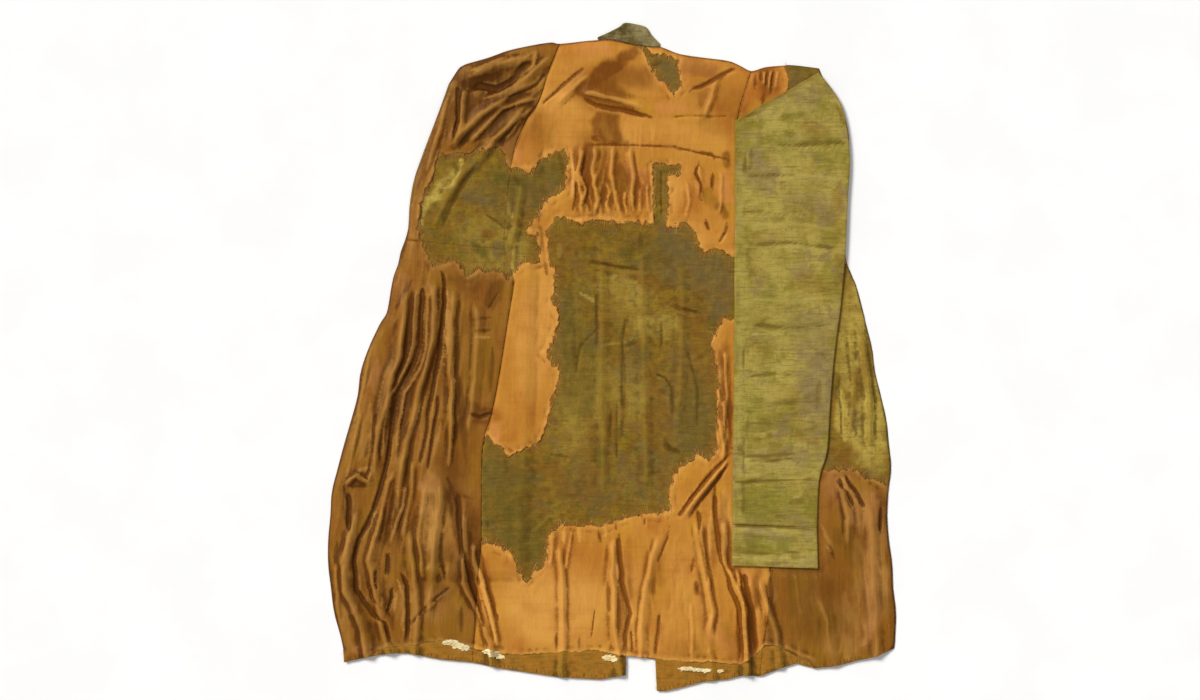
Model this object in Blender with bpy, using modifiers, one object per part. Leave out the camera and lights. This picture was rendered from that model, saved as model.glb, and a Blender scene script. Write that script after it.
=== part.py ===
"""A ceremonial mantle laid out flat, back up, with torn silk over a coarser cloth.

The garment lies face down. Its back panel, two side gores and the heads of its sleeves show.
The left sleeve is folded under the body and the right one is folded over the back.

+X is to the right seen from above, +Y points to the collar and +Z is up. The origin is on the
table, under the middle of the garment. Every table and size is in millimetres.
"""

import math
from collections import namedtuple

import bmesh
import bpy
import numpy as np
from mathutils import Vector
from mathutils.geometry import delaunay_2d_cdt

MM = 0.001

# Driving sizes
FRONT_WALL = 1.5
CLOTH_WALL = 1.5
SILK_WALL = 1.0
SLEEVE_WALL = 1.5
COLLAR_WALL = 1.5
SEAM_GAP = 0.3
PLY_GAP = 0.3
SLACK = 2.0  # how far the back plies stand off the fronts, inside the side seams
EDGE_RAMP = 24.0  # the width over which the back plies come down to the fronts' edges
SLEEVE_HOLLOW = 1.5  # between the two plies of a flattened sleeve
UNDER_SLEEVE_CLEARANCE = 0.6
LIFT_MARGIN = 5.0
LIFT_RAMP = 26.0
SLEEVE_MARGIN = 5.0  # folds are pressed flat this far outside the sleeve that lies on them
SLEEVE_PRESS = 14.0
FRONT_EDGE_X = 32.0  # the fronts meet here
COLLAR_HOLLOW = 1.0

# How finely the panels are divided
FOLD_STEP = 30.0
HEM_STEP = 26.0
RIM_STEP = 34.0
GRID_STEP = 58.0
FRONT_STEP = 110.0
NEAREST_POINTS = 9.0
NEAREST_LINE = 5.0
ROW_STEP = math.sqrt(0.75)  # rows of a triangular grid, as a share of its step
COLLAR_ROWS = 4
FOLD_END = 2.5  # a fold fades out over this many half widths
SHARP_ANGLE = math.radians(50)

# Derived levels, all from the table up
SLEEVE_THICKNESS = 2 * SLEEVE_WALL + SLEEVE_HOLLOW
SLEEVE_LIFT = SLEEVE_THICKNESS + UNDER_SLEEVE_CLEARANCE
CLOTH_LOW = FRONT_WALL + PLY_GAP
SILK_LOW = CLOTH_WALL + PLY_GAP
SILK_HIGH = SILK_LOW + SILK_WALL
OVER_SLEEVE_LOW = CLOTH_LOW + SLACK + SILK_HIGH + PLY_GAP

Section = namedtuple("Section", "y left right")
Point = namedtuple("Point", "x y")
Ring = namedtuple("Ring", "left_x left_y right_x right_y")
Band = namedtuple("Band", "x low high")
Fold = namedtuple("Fold", "height half_width path")
Look = namedtuple("Look", "name colour roughness")

# The garment's width at each height, from the shoulder corners to the hem's corners
BODY_SECTIONS = [
    Section(512, -306, 400),
    Section(467, -322, 430),
    Section(422, -339, 443),
    Section(377, -356, 445),
    Section(332, -371, 444),
    Section(287, -379, 441),
    Section(242, -382, 439),
    Section(219, -388, 437),
    Section(197, -396, 437),
    Section(174, -401, 441),
    Section(152, -409, 450),
    Section(129, -414, 459),
    Section(84, -422, 471),
    Section(62, -435, 476),
    Section(17, -456, 487),
    Section(-28, -471, 493),
    Section(-73, -477, 504),
    Section(-118, -489, 514),
    Section(-163, -502, 519),
    Section(-208, -514, 523),
    Section(-253, -525, 518),
    Section(-298, -528, 516),
    Section(-343, -532, 519),
    Section(-388, -532, 525),
    Section(-433, -527, 527),
    Section(-478, -521, 532),
    Section(-523, -509, 531),
    Section(-546, -504, 529),
]

# The top edge from the left shoulder's corner to the right one's, over the neck seam
SHOULDER_LINE = [
    Point(-292, 534), Point(-278, 547), Point(-232, 561), Point(-188, 576), Point(-120, 589),
    Point(-97, 587), Point(-52, 592), Point(-28, 594), Point(-9, 596), Point(13, 592),
    Point(45, 585), Point(77, 581), Point(92, 581), Point(127, 568), Point(172, 561),
    Point(217, 555), Point(240, 546), Point(261, 536), Point(287, 543), Point(319, 546),
    Point(339, 547), Point(388, 541),
]

# The hem from left to right, round the vent at the centre back
HEM_LINE = [
    Point(-502, -572), Point(-454, -561), Point(-414, -555), Point(-382, -555), Point(-324, -566),
    Point(-261, -572), Point(-210, -583), Point(-172, -589), Point(-97, -600), Point(-22, -604),
    Point(26, -596), Point(26, -559), Point(81, -566), Point(84, -626), Point(99, -626),
    Point(131, -619), Point(169, -609), Point(216, -604), Point(246, -596), Point(277, -598),
    Point(317, -583), Point(345, -574), Point(379, -583), Point(420, -579), Point(461, -568),
    Point(495, -561),
]

# Where the silk ends above the hem, and the cloth shows below it
SILK_HEM = [
    Point(-461, -566), Point(-431, -544), Point(-369, -540), Point(-324, -532), Point(-238, -551),
    Point(-172, -557), Point(-22, -551), Point(26, -559), Point(81, -566), Point(240, -576),
    Point(270, -560), Point(286, -540), Point(315, -544), Point(371, -577), Point(379, -592),
]

# Armhole and side seam, from the shoulder to the hem
LEFT_SEAM = [
    Point(-97, 587), Point(-118, 536), Point(-137, 478), Point(-161, 441), Point(-184, 382),
    Point(-196, 290), Point(-201, 201), Point(-184, 142), Point(-195, 66), Point(-210, -30),
    Point(-225, -107), Point(-242, -174), Point(-244, -334), Point(-249, -397), Point(-252, -426),
    Point(-256, -500), Point(-261, -572),
]
RIGHT_SEAM = [
    Point(261, 536), Point(236, 448), Point(240, 380), Point(262, 290), Point(268, 178),
    Point(278, -120), Point(296, -399), Point(284, -538), Point(277, -598),
]
LEFT_UNDERARM = [Point(-388, 219), Point(-374, 218), Point(-201, 201)]
RIGHT_UNDERARM = [Point(268, 178), Point(441, 174)]

# Torn places in the silk
RIPS = {
    "shoulder": [
        Point(-322, 382), Point(-268, 377), Point(-214, 394), Point(-191, 354), Point(-144, 354),
        Point(-120, 382), Point(-90, 388), Point(-82, 362), Point(-90, 313), Point(-126, 285),
        Point(-159, 238), Point(-139, 234), Point(-136, 178), Point(-172, 167), Point(-193, 146),
        Point(-204, 157), Point(-249, 161), Point(-268, 148), Point(-294, 178), Point(-334, 167),
        Point(-351, 210), Point(-364, 242), Point(-358, 292), Point(-334, 351),
    ],
    "centre": [
        Point(-103, 261), Point(-69, 255), Point(-22, 262), Point(24, 253), Point(77, 253),
        Point(77, 358), Point(127, 358), Point(127, 345), Point(105, 339), Point(103, 246),
        Point(127, 251), Point(152, 240), Point(169, 199), Point(236, 194), Point(236, 68),
        Point(210, 67), Point(187, 26), Point(201, -36), Point(195, -110), Point(199, -176),
        Point(180, -197), Point(160, -186), Point(136, -202), Point(118, -226), Point(107, -266),
        Point(114, -289), Point(84, -298), Point(54, -291), Point(-22, -321), Point(-92, -313),
        Point(-114, -324), Point(-126, -388), Point(-161, -420), Point(-187, -373),
        Point(-240, -343), Point(-262, -330), Point(-262, -165), Point(-232, -145),
        Point(-191, -187), Point(-137, -163), Point(-118, -107), Point(-99, -30), Point(-126, 7),
        Point(-99, 66), Point(-114, 103), Point(-107, 157), Point(-118, 178), Point(-122, 234),
    ],
    "neck": [
        Point(52, 579), Point(129, 557), Point(124, 549), Point(131, 506), Point(116, 489),
        Point(86, 519),
    ],
    "gore": [
        Point(380, 190), Point(560, 190), Point(560, -262), Point(519, -247), Point(484, -227),
        Point(446, -208), Point(407, -216), Point(380, -205),
    ],
    "sleeve_head": [
        Point(321, 565), Point(330, 519), Point(324, 478), Point(400, 440), Point(470, 440),
        Point(470, 565),
    ],
}
RIPS_OF_PANEL = {
    "sleeve_left_head": ("shoulder",),
    "gore_left": ("shoulder",),
    "back": ("shoulder", "centre", "neck"),
    "gore_right": ("gore",),
    "sleeve_right_head": ("sleeve_head",),
}

# Each fold's height, the half of its width, and the line of its crest
FOLDS = [
    Fold(9, 16, [(-150, 560), (-219, 543), (-275, 515)]),
    Fold(10, 18, [(-140, 525), (-247, 456), (-318, 388)]),
    Fold(7, 15, [(-150, 486), (-240, 390), (-290, 330)]),
    Fold(5, 12, [(-170, 330), (-180, 250), (-190, 190)]),
    Fold(10, 17, [(-337, 150), (-339, 32), (-362, -50), (-390, -156), (-407, -268)]),
    Fold(7, 14, [(-298, 130), (-302, -20), (-306, -170)]),
    Fold(9, 16, [(-386, 140), (-401, 13), (-435, -118), (-454, -230)]),
    Fold(5, 13, [(-250, 110), (-254, -40), (-268, -150)]),
    Fold(10, 17, [(-474, -290), (-499, -384), (-495, -437), (-470, -493), (-440, -625)]),
    Fold(8, 16, [(-428, -290), (-450, -381), (-435, -456), (-398, -625)]),
    Fold(6, 14, [(-384, -320), (-369, -440), (-374, -625)]),
    Fold(6, 16, [(-322, -220), (-334, -370), (-349, -500)]),
    Fold(9, 12, [(-274, -290), (-274, -420), (-236, -500), (-208, -640)]),
    Fold(5, 9, [(-60, 400), (-56, 275)]),
    Fold(6, 10, [(-32, 450), (-22, 278)]),
    Fold(6, 10, [(0, 440), (6, 275)]),
    Fold(5, 9, [(33, 410), (37, 270)]),
    Fold(5, 13, [(-62, 503), (0, 490), (75, 466)]),
    Fold(4, 12, [(-38, 540), (-110, 470)]),
    Fold(4, 9, [(157, 370), (166, 285)]),
    Fold(4, 11, [(200, 530), (165, 440)]),
    Fold(3, 15, [(-18, 220), (-20, 0), (-16, -270)]),
    Fold(3, 15, [(56, 215), (60, -20), (64, -260)]),
    Fold(3, 15, [(128, 180), (132, 20), (120, -150)]),
    Fold(6, 11, [(-2, -335), (0, -480), (20, -640)]),
    Fold(6, 12, [(92, -330), (62, -437), (50, -640)]),
    Fold(5, 11, [(-100, -350), (-92, -470), (-96, -650)]),
    Fold(7, 9, [(206, -70), (208, -205)]),
    Fold(8, 10, [(206, -205), (129, -300)]),
    Fold(9, 12, [(158, -300), (170, -437), (188, -660)]),
    Fold(10, 12, [(206, -300), (212, -390), (246, -474), (254, -660)]),
    Fold(6, 11, [(272, -412), (306, -520), (322, -640)]),
    Fold(7, 16, [(480, -268), (486, -381), (497, -620)]),
    Fold(5, 15, [(372, -425), (404, -500), (420, -630)]),
    Fold(6, 13, [(464, 100), (478, -43), (484, -180)]),
    Fold(5, 12, [(430, -225), (446, -300), (440, -360)]),
]

# The sleeve folded over the back: its two edges at each ring, from its head to its cuff
OVER_SLEEVE = [
    Ring(230, 442, 387, 533),
    Ring(230, 398, 430, 470),
    Ring(230, 330, 445, 382),
    Ring(230, 245, 441, 287),
    Ring(229, 165, 437, 195),
    Ring(229, 80, 428, 92),
    Ring(228, 0, 417, 8),
    Ring(228, -90, 409, -85),
    Ring(227, -175, 403, -175),
    Ring(226, -230, 388, -231),
    Ring(226, -314, 384, -320),
]
OVER_CUFF = [
    Ring(226, -314 - SEAM_GAP, 384, -320 - SEAM_GAP),
    Ring(225, -355, 385, -359),
    Ring(225, -391, 386, -396),
]

# The sleeve folded under the body
UNDER_SLEEVE = [
    Ring(-303, 504, -160, 440),
    Ring(-320, 462, -160, 392),
    Ring(-352, 384, -158, 330),
    Ring(-376, 287, -162, 250),
    Ring(-366, 200, -165, 170),
    Ring(-356, 100, -168, 90),
    Ring(-352, 0, -170, 0),
    Ring(-350, -100, -172, -100),
    Ring(-348, -200, -176, -200),
    Ring(-345, -310, -185, -310),
]
UNDER_CUFF = [
    Ring(-345, -310 - SEAM_GAP, -185, -310 - SEAM_GAP),
    Ring(-345, -390, -186, -390),
]

# The collar's lower and upper edge, across the neck
COLLAR_BANDS = [
    Band(-27, 595, 599), Band(-9, 597, 607), Band(13, 593, 618), Band(24, 590, 626),
    Band(43, 586, 624), Band(64, 583, 618), Band(73, 582, 605), Band(90, 582, 587),
]

LOOKS = {
    "orange_silk": Look("orange_silk", (0.54, 0.25, 0.05), 0.42),
    "brown_silk": Look("brown_silk", (0.24, 0.11, 0.03), 0.38),
    "olive_cloth": Look("olive_cloth", (0.19, 0.14, 0.03), 0.85),
    "light_cloth": Look("light_cloth", (0.34, 0.28, 0.08), 0.85),
    "collar_cloth": Look("collar_cloth", (0.16, 0.11, 0.05), 0.85),
    "lining_cloth": Look("lining_cloth", (0.28, 0.20, 0.08), 0.85),
}
SILK_OF_PANEL = {
    "sleeve_left_head": "brown_silk",
    "gore_left": "brown_silk",
    "back": "orange_silk",
    "gore_right": "brown_silk",
    "sleeve_right_head": "orange_silk",
}


def smooth(share):
    share = min(1.0, max(0.0, share))
    return share * share * (3.0 - 2.0 * share)


def ring_outline(rings):
    """The outline of a row of rings, anticlockwise from the first one's left end."""
    left = [Point(ring.left_x, ring.left_y) for ring in rings]
    right = [Point(ring.right_x, ring.right_y) for ring in rings]
    return left + right[::-1]


def nearest_on_path(x, y, path):
    """The distance to a path, how far along it the nearest place is, and its whole length."""
    best = (math.inf, 0.0)
    run = 0.0
    for (ax, ay), (bx, by) in zip(path, path[1:]):
        length = math.hypot(bx - ax, by - ay)
        along = ((x - ax) * (bx - ax) + (y - ay) * (by - ay)) / (length * length)
        along = min(1.0, max(0.0, along))
        gap = math.hypot(x - ax - along * (bx - ax), y - ay - along * (by - ay))
        if gap < best[0]:
            best = (gap, run + along * length)
        run += length
    return best[0], best[1], run


def distance_to_loop(x, y, loop):
    return nearest_on_path(x, y, [*loop, loop[0]])[0]


def inside(x, y, loop):
    found = False
    for (ax, ay), (bx, by) in zip(loop, [*loop[1:], loop[0]]):
        if (ay > y) != (by > y) and x < ax + (y - ay) * (bx - ax) / (by - ay):
            found = not found
    return found


def x_at(line, y):
    """Where a seam that runs down the garment is at height y."""
    rising = sorted(line, key=lambda point: point.y)
    return float(np.interp(y, [point.y for point in rising], [point.x for point in rising]))


def y_at(line, x):
    """How high a line that runs across the garment is at x."""
    return float(np.interp(x, [point.x for point in line], [point.y for point in line]))


def divided(line, step):
    """The line with more points, a step apart or less."""
    found = [line[0]]
    for a, b in zip(line, line[1:]):
        count = max(1, round(math.hypot(b.x - a.x, b.y - a.y) / step))
        found += [
            Point(a.x + (b.x - a.x) * i / count, a.y + (b.y - a.y) * i / count)
            for i in range(1, count + 1)
        ]
    return found


LEFT_SIDE = [Point(row.left, row.y) for row in BODY_SECTIONS]
RIGHT_SIDE = [Point(row.right, row.y) for row in BODY_SECTIONS]
TOP_AND_RIGHT = RIGHT_SIDE[::-1] + SHOULDER_LINE[::-1]
OUTLINE = LEFT_SIDE + divided(HEM_LINE, HEM_STEP) + TOP_AND_RIGHT  # anticlockwise, without the collar
FRONT_OUTLINE = LEFT_SIDE + TOP_AND_RIGHT
SIDES = TOP_AND_RIGHT + LEFT_SIDE  # no hem, so that folds may run out over it
OVER_OUTLINE = ring_outline([*OVER_SLEEVE, *OVER_CUFF])
UNDER_OUTLINE = ring_outline([*UNDER_SLEEVE, *UNDER_CUFF])


def lift_at(x, y):
    """How far the sleeve folded under the body raises it."""
    if inside(x, y, UNDER_OUTLINE):
        return SLEEVE_LIFT
    gap = distance_to_loop(x, y, UNDER_OUTLINE) - LIFT_MARGIN
    return SLEEVE_LIFT * (1.0 - smooth(gap / LIFT_RAMP))


def fold_at(x, y):
    """The height of the folds, flat at the side edges and under the sleeve that lies on them."""
    if inside(x, y, OVER_OUTLINE):
        return 0.0
    pressed = smooth((distance_to_loop(x, y, OVER_OUTLINE) - SLEEVE_MARGIN) / SLEEVE_PRESS)
    edge = smooth(nearest_on_path(x, y, SIDES)[0] / EDGE_RAMP)
    height = 0.0
    for fold in FOLDS:
        gap, along, length = nearest_on_path(x, y, fold.path)
        if gap >= fold.half_width:
            continue
        ends = smooth(min(along, length - along) / (FOLD_END * fold.half_width))
        height += fold.height * ends * math.cos(0.5 * math.pi * gap / fold.half_width) ** 2
    return height * pressed * edge


def back_height(x, y):
    """The underside of the cloth that backs the silk."""
    slack = SLACK * smooth(nearest_on_path(x, y, SIDES)[0] / EDGE_RAMP)
    return lift_at(x, y) + CLOTH_LOW + slack + fold_at(x, y)


def offset_loop(loop, distance):
    """A closed loop moved outwards, corner by corner."""
    moved = []
    count = len(loop)
    area = sum(a[0] * b[1] - b[0] * a[1] for a, b in zip(loop, [*loop[1:], loop[0]]))
    turn = 1.0 if area > 0 else -1.0
    for i, (x, y) in enumerate(loop):
        ax, ay = loop[i - 1]
        bx, by = loop[(i + 1) % count]
        before = Vector((y - ay, ax - x)).normalized() * turn
        after = Vector((by - y, x - bx)).normalized() * turn
        out = (before + after).normalized()
        reach = distance / max(0.5, out.dot(before))
        moved.append(Point(x + out.x * reach, y + out.y * reach))
    return moved


def stations(path, step):
    """Places along a path with the direction across it, a step apart."""
    found = []
    for (ax, ay), (bx, by) in zip(path, path[1:]):
        length = math.hypot(bx - ax, by - ay)
        across = ((ay - by) / length, (bx - ax) / length)
        count = max(1, round(length / step))
        found += [
            (ax + (bx - ax) * i / count, ay + (by - ay) * i / count, across) for i in range(count)
        ]
    return [*found, (*path[-1], across)]


def fold_crests():
    """The crest of each fold, as a line of places."""
    return [[Point(x, y) for x, y, _ in stations(fold.path, FOLD_STEP)] for fold in FOLDS]


def fold_feet():
    """Places along both feet of each fold."""
    found = []
    for fold in FOLDS:
        for x, y, (across_x, across_y) in stations(fold.path, FOLD_STEP):
            for side in (-fold.half_width, fold.half_width):
                found.append((x + side * across_x, y + side * across_y))
    return found


def sleeve_rims():
    """Places round the sleeve under the body, at the top and the foot of the slope over it."""
    found = []
    for distance in (LIFT_MARGIN, LIFT_MARGIN + LIFT_RAMP):
        loop = offset_loop(UNDER_OUTLINE, distance)
        found += [(x, y) for x, y, _ in stations([*loop, loop[0]], RIM_STEP)]
    return found


def grid_points(step):
    left = min(point.x for point in OUTLINE)
    right = max(point.x for point in OUTLINE)
    low = min(point.y for point in OUTLINE)
    high = max(point.y for point in OUTLINE)
    for i, y in enumerate(np.arange(low, high, step * ROW_STEP)):
        for x in np.arange(left + 0.5 * step * (i % 2), right, step):
            yield float(x), float(y)


def spread(candidates, kept, outline, lines, least):
    """The candidates that lie inside the outline, clear of its lines and of each other."""
    kept = list(kept)
    found = []
    for x, y in candidates:
        if not inside(x, y, outline):
            continue
        if min(math.hypot(x - a, y - b) for a, b in kept) < least:
            continue
        if min(nearest_on_path(x, y, line)[0] for line in lines) < NEAREST_LINE:
            continue
        kept.append((x, y))
        found.append((x, y))
    return found


class Sheet:
    """Flat triangles inside an outline, with every line kept as edges, then raised."""

    def __init__(self, outline, lines, loose, height):
        places = []
        numbers = {}

        def number(point):
            key = (round(point[0], 1), round(point[1], 1))
            if key not in numbers:
                numbers[key] = len(places)
                places.append(Vector(key))
            return numbers[key]

        edges = []
        for line in lines:
            ends = [number(point) for point in line]
            edges += [(a, b) for a, b in zip(ends, ends[1:]) if a != b]
        for point in loose:
            number(point)
        made = delaunay_2d_cdt(places, edges, [], 0, 1e-4)
        flat = [(float(point.x), float(point.y)) for point in made[0]]
        self.triangles = []
        for a, b, c in made[2]:
            x = (flat[a][0] + flat[b][0] + flat[c][0]) / 3
            y = (flat[a][1] + flat[b][1] + flat[c][1]) / 3
            if inside(x, y, outline):
                self.triangles.append(((a, b, c), x, y))
        self.points = [Vector((x, y, height(x, y))) for x, y in flat]
        self.normals = self.vertex_normals()

    def vertex_normals(self):
        sums = [Vector((0, 0, 0)) for _ in self.points]
        for (a, b, c), _, _ in self.triangles:
            first = self.points[b] - self.points[a]
            second = self.points[c] - self.points[a]
            face = first.cross(second)
            for i in (a, b, c):
                sums[i] += face if face.z > 0 else -face
        return [total.normalized() if total.length else Vector((0, 0, 1)) for total in sums]

    def pick(self, wanted):
        return [corners for corners, x, y in self.triangles if wanted(x, y)]


def seam_insets(points, triangles):
    """How far each boundary point steps back, for half of the seam gap along every edge."""
    sides = {}
    for a, b, c in triangles:
        for start, end, other in ((a, b, c), (b, c, a), (c, a, b)):
            sides.setdefault(frozenset((start, end)), []).append((start, end, other))
    steps = {}
    for uses in sides.values():
        if len(uses) > 1:
            continue
        start, end, other = uses[0]
        along = (points[end] - points[start]).xy.normalized()
        across = Vector((-along.y, along.x))
        if across.dot((points[other] - points[start]).xy) < 0:
            across = -across
        for i in (start, end):
            steps.setdefault(i, []).append(across)
    insets = {}
    for i, found in steps.items():
        middle = sum(found, Vector((0, 0)))
        if middle.length < 0.2:
            continue
        middle.normalize()
        reach = 0.5 * SEAM_GAP / max(0.4, min(middle.dot(across) for across in found))
        insets[i] = Vector((middle.x * reach, middle.y * reach, 0))
    return insets


def new_object(name, mesh_source, look):
    mesh = bpy.data.meshes.new(name)
    mesh_source.to_mesh(mesh)
    mesh_source.free()
    mesh.materials.append(materials[look])
    mesh.shade_smooth()
    mesh.set_sharp_from_angle(angle=SHARP_ANGLE)
    obj = bpy.data.objects.new(name, mesh)
    collection.objects.link(obj)
    return obj


def cloth_wall(name, sheet, triangles, low, high, look):
    """A wall on some of a sheet's triangles, between two distances out from its points."""
    source = bmesh.new()
    rise = source.verts.layers.float_vector.new("rise")
    insets = seam_insets(sheet.points, triangles)
    corners = {}
    for i in sorted({i for triangle in triangles for i in triangle}):
        place = sheet.points[i] + insets.get(i, Vector((0, 0, 0))) + sheet.normals[i] * low
        corners[i] = source.verts.new(place * MM)
        corners[i][rise] = sheet.normals[i] * (high - low) * MM
    for triangle in triangles:
        source.faces.new([corners[i] for i in triangle])
    bmesh.ops.recalc_face_normals(source, faces=source.faces[:])
    made = bmesh.ops.extrude_face_region(source, geom=source.faces[:], use_keep_orig=True)
    for corner in made["geom"]:
        if isinstance(corner, bmesh.types.BMVert):
            corner.co += corner[rise]
    bmesh.ops.recalc_face_normals(source, faces=source.faces[:])
    return new_object(name, source, look)


def flat_tube(name, rings, low, hollow, wall, look, across=6):
    """A flattened tube: an inner skin through the rings, and Solidify for its wall."""
    source = bmesh.new()
    inner_low = low + wall
    rows = []
    for ring in rings:
        start = Vector((ring.left_x, ring.left_y, 0))
        end = Vector((ring.right_x, ring.right_y, 0))
        along = (end - start).normalized()
        start += along * wall
        end -= along * wall
        row = []
        for i in range(across + 1):
            bow = math.sin(math.pi * i / across)
            level = inner_low + 0.5 * hollow * (1 - smooth(2 * bow))
            row.append(start.lerp(end, i / across) + Vector((0, 0, level)))
        for i in range(across - 1, 0, -1):
            bow = math.sin(math.pi * i / across)
            level = inner_low + 0.5 * hollow * (1 + smooth(2 * bow))
            row.append(start.lerp(end, i / across) + Vector((0, 0, level)))
        rows.append([source.verts.new(place * MM) for place in row])
    for first, second in zip(rows, rows[1:]):
        for i in range(len(first)):
            j = (i + 1) % len(first)
            source.faces.new([first[i], first[j], second[j], second[i]])
    bmesh.ops.triangulate(source, faces=source.faces[:])
    obj = new_object(name, source, look)
    solidify = obj.modifiers.new("wall", "SOLIDIFY")
    solidify.thickness = wall * MM
    solidify.offset = 1.0
    return obj


def collar_ring(name, look):
    """A standing collar pressed flat: its back on top, and its two ends meeting below."""
    source = bmesh.new()
    low = COLLAR_WALL
    high = COLLAR_WALL + COLLAR_HOLLOW
    opening = 0.5 * SEAM_GAP
    below_left = [band for band in COLLAR_BANDS if band.x < FRONT_EDGE_X][::-1]
    below_right = [band for band in COLLAR_BANDS if band.x > FRONT_EDGE_X][::-1]
    fronts = [collar_band(FRONT_EDGE_X - opening), *below_left[:-1]]
    backs = [collar_band(FRONT_EDGE_X + opening), *below_right[::-1][:-1]][::-1]
    turn = 0.5 * (low + high)
    route = [(band, low) for band in fronts]
    route += [(COLLAR_BANDS[0], turn)]
    route += [(band, high) for band in COLLAR_BANDS[1:-1]]
    route += [(COLLAR_BANDS[-1], turn)]
    route += [(band, low) for band in backs]
    columns = []
    for band, level in route:
        places = [(band.x, y, level) for y in np.linspace(band.low, band.high, COLLAR_ROWS)]
        columns.append([source.verts.new(Vector(place) * MM) for place in places])
    for first, second in zip(columns, columns[1:]):
        for i in range(len(first) - 1):
            source.faces.new([first[i], second[i], second[i + 1], first[i + 1]])
    bmesh.ops.triangulate(source, faces=source.faces[:])
    obj = new_object(name, source, look)
    solidify = obj.modifiers.new("wall", "SOLIDIFY")
    solidify.thickness = COLLAR_WALL * MM
    solidify.offset = 1.0
    return obj


def collar_band(x):
    """The collar's edges at any x."""
    places = [band.x for band in COLLAR_BANDS]
    low = np.interp(x, places, [band.low for band in COLLAR_BANDS])
    high = np.interp(x, places, [band.high for band in COLLAR_BANDS])
    return Band(x, float(low), float(high))


def panel_at(x, y):
    """The name of the panel that covers a place."""
    if x < x_at(LEFT_SEAM, y):
        return "sleeve_left_head" if y > y_at(LEFT_UNDERARM, x) else "gore_left"
    if x > x_at(RIGHT_SEAM, y):
        return "sleeve_right_head" if y > y_at(RIGHT_UNDERARM, x) else "gore_right"
    return "back"


def has_silk(x, y):
    """Whether the silk is whole at a place: not torn, and not below its own hem."""
    if SILK_HEM[0].x < x < SILK_HEM[-1].x and y < y_at(SILK_HEM, x):
        return False
    return not any(inside(x, y, RIPS[rip]) for rip in RIPS_OF_PANEL[panel_at(x, y)])


def back_sheet():
    """The points that the silk and the cloth of the back share."""
    rips = [[*rip, rip[0]] for rip in RIPS.values()]
    pressed = offset_loop(OVER_OUTLINE, SLEEVE_MARGIN)
    silk_hem = divided(SILK_HEM, HEM_STEP)
    seams = [LEFT_SEAM, RIGHT_SEAM, LEFT_UNDERARM, RIGHT_UNDERARM, silk_hem]
    lines = [[*OUTLINE, OUTLINE[0]], *seams, *rips, [*pressed, pressed[0]], *fold_crests()]
    fixed = [point for line in lines for point in line]
    loose = spread([*fold_feet(), *sleeve_rims()], fixed, OUTLINE, lines, NEAREST_POINTS)
    loose += spread(grid_points(GRID_STEP), fixed + loose, OUTLINE, lines, 0.5 * GRID_STEP)
    return Sheet(OUTLINE, lines, loose, back_height)


def front_sheet():
    """The plain plies that lie on the table and over the sleeve that is folded under."""
    top = y_at(SHOULDER_LINE, FRONT_EDGE_X)
    opening = [Point(FRONT_EDGE_X, top), Point(FRONT_EDGE_X, BODY_SECTIONS[-1].y)]
    left_armhole = LEFT_SEAM[:LEFT_SEAM.index(LEFT_UNDERARM[-1]) + 1]
    right_armhole = RIGHT_SEAM[:RIGHT_SEAM.index(RIGHT_UNDERARM[0]) + 1]
    seams = [left_armhole, right_armhole, LEFT_UNDERARM, RIGHT_UNDERARM, opening]
    lines = [[*FRONT_OUTLINE, FRONT_OUTLINE[0]], *seams]
    fixed = [point for line in lines for point in line]
    loose = spread(sleeve_rims(), fixed, FRONT_OUTLINE, lines, NEAREST_POINTS)
    loose += spread(grid_points(FRONT_STEP), fixed + loose, FRONT_OUTLINE, lines, 0.5 * FRONT_STEP)
    return Sheet(FRONT_OUTLINE, lines, loose, lift_at)


def front_piece_at(x, y):
    panel = panel_at(x, y)
    if panel.endswith("head"):
        return panel + "_under"
    return "front_left" if x < FRONT_EDGE_X else "front_right"


def new_material(look):
    material = bpy.data.materials.new(look.name)
    material.use_nodes = True
    shader = material.node_tree.nodes["Principled BSDF"]
    shader.inputs["Base Color"].default_value = (*look.colour, 1.0)
    shader.inputs["Roughness"].default_value = look.roughness
    shader.inputs["Metallic"].default_value = 0.0
    material.diffuse_color = (*look.colour, 1.0)
    return material


for leftover in list(bpy.data.objects):
    bpy.data.objects.remove(leftover)
materials = {name: new_material(look) for name, look in LOOKS.items()}
collection = bpy.data.collections.new("ceremonial_mantle")
bpy.context.scene.collection.children.link(collection)

back = back_sheet()
for panel, silk in SILK_OF_PANEL.items():
    whole = back.pick(lambda x, y, panel=panel: panel_at(x, y) == panel)
    kept = back.pick(lambda x, y, panel=panel: panel_at(x, y) == panel and has_silk(x, y))
    cloth_wall(panel + "_cloth", back, whole, 0, CLOTH_WALL, "olive_cloth")
    cloth_wall(panel + "_silk", back, kept, SILK_LOW, SILK_HIGH, silk)

front = front_sheet()
for piece in ("front_left", "front_right", "sleeve_left_head_under", "sleeve_right_head_under"):
    triangles = front.pick(lambda x, y, piece=piece: front_piece_at(x, y) == piece)
    cloth_wall(piece, front, triangles, 0, FRONT_WALL, "lining_cloth")

flat_tube("sleeve_right_length", OVER_SLEEVE, OVER_SLEEVE_LOW, SLEEVE_HOLLOW, SLEEVE_WALL, "light_cloth")
flat_tube("sleeve_right_cuff", OVER_CUFF, OVER_SLEEVE_LOW, SLEEVE_HOLLOW, SLEEVE_WALL, "light_cloth")
flat_tube("sleeve_left_length", UNDER_SLEEVE, 0, SLEEVE_HOLLOW, SLEEVE_WALL, "lining_cloth")
flat_tube("sleeve_left_cuff", UNDER_CUFF, 0, SLEEVE_HOLLOW, SLEEVE_WALL, "lining_cloth")
collar_ring("collar", "collar_cloth")
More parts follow.
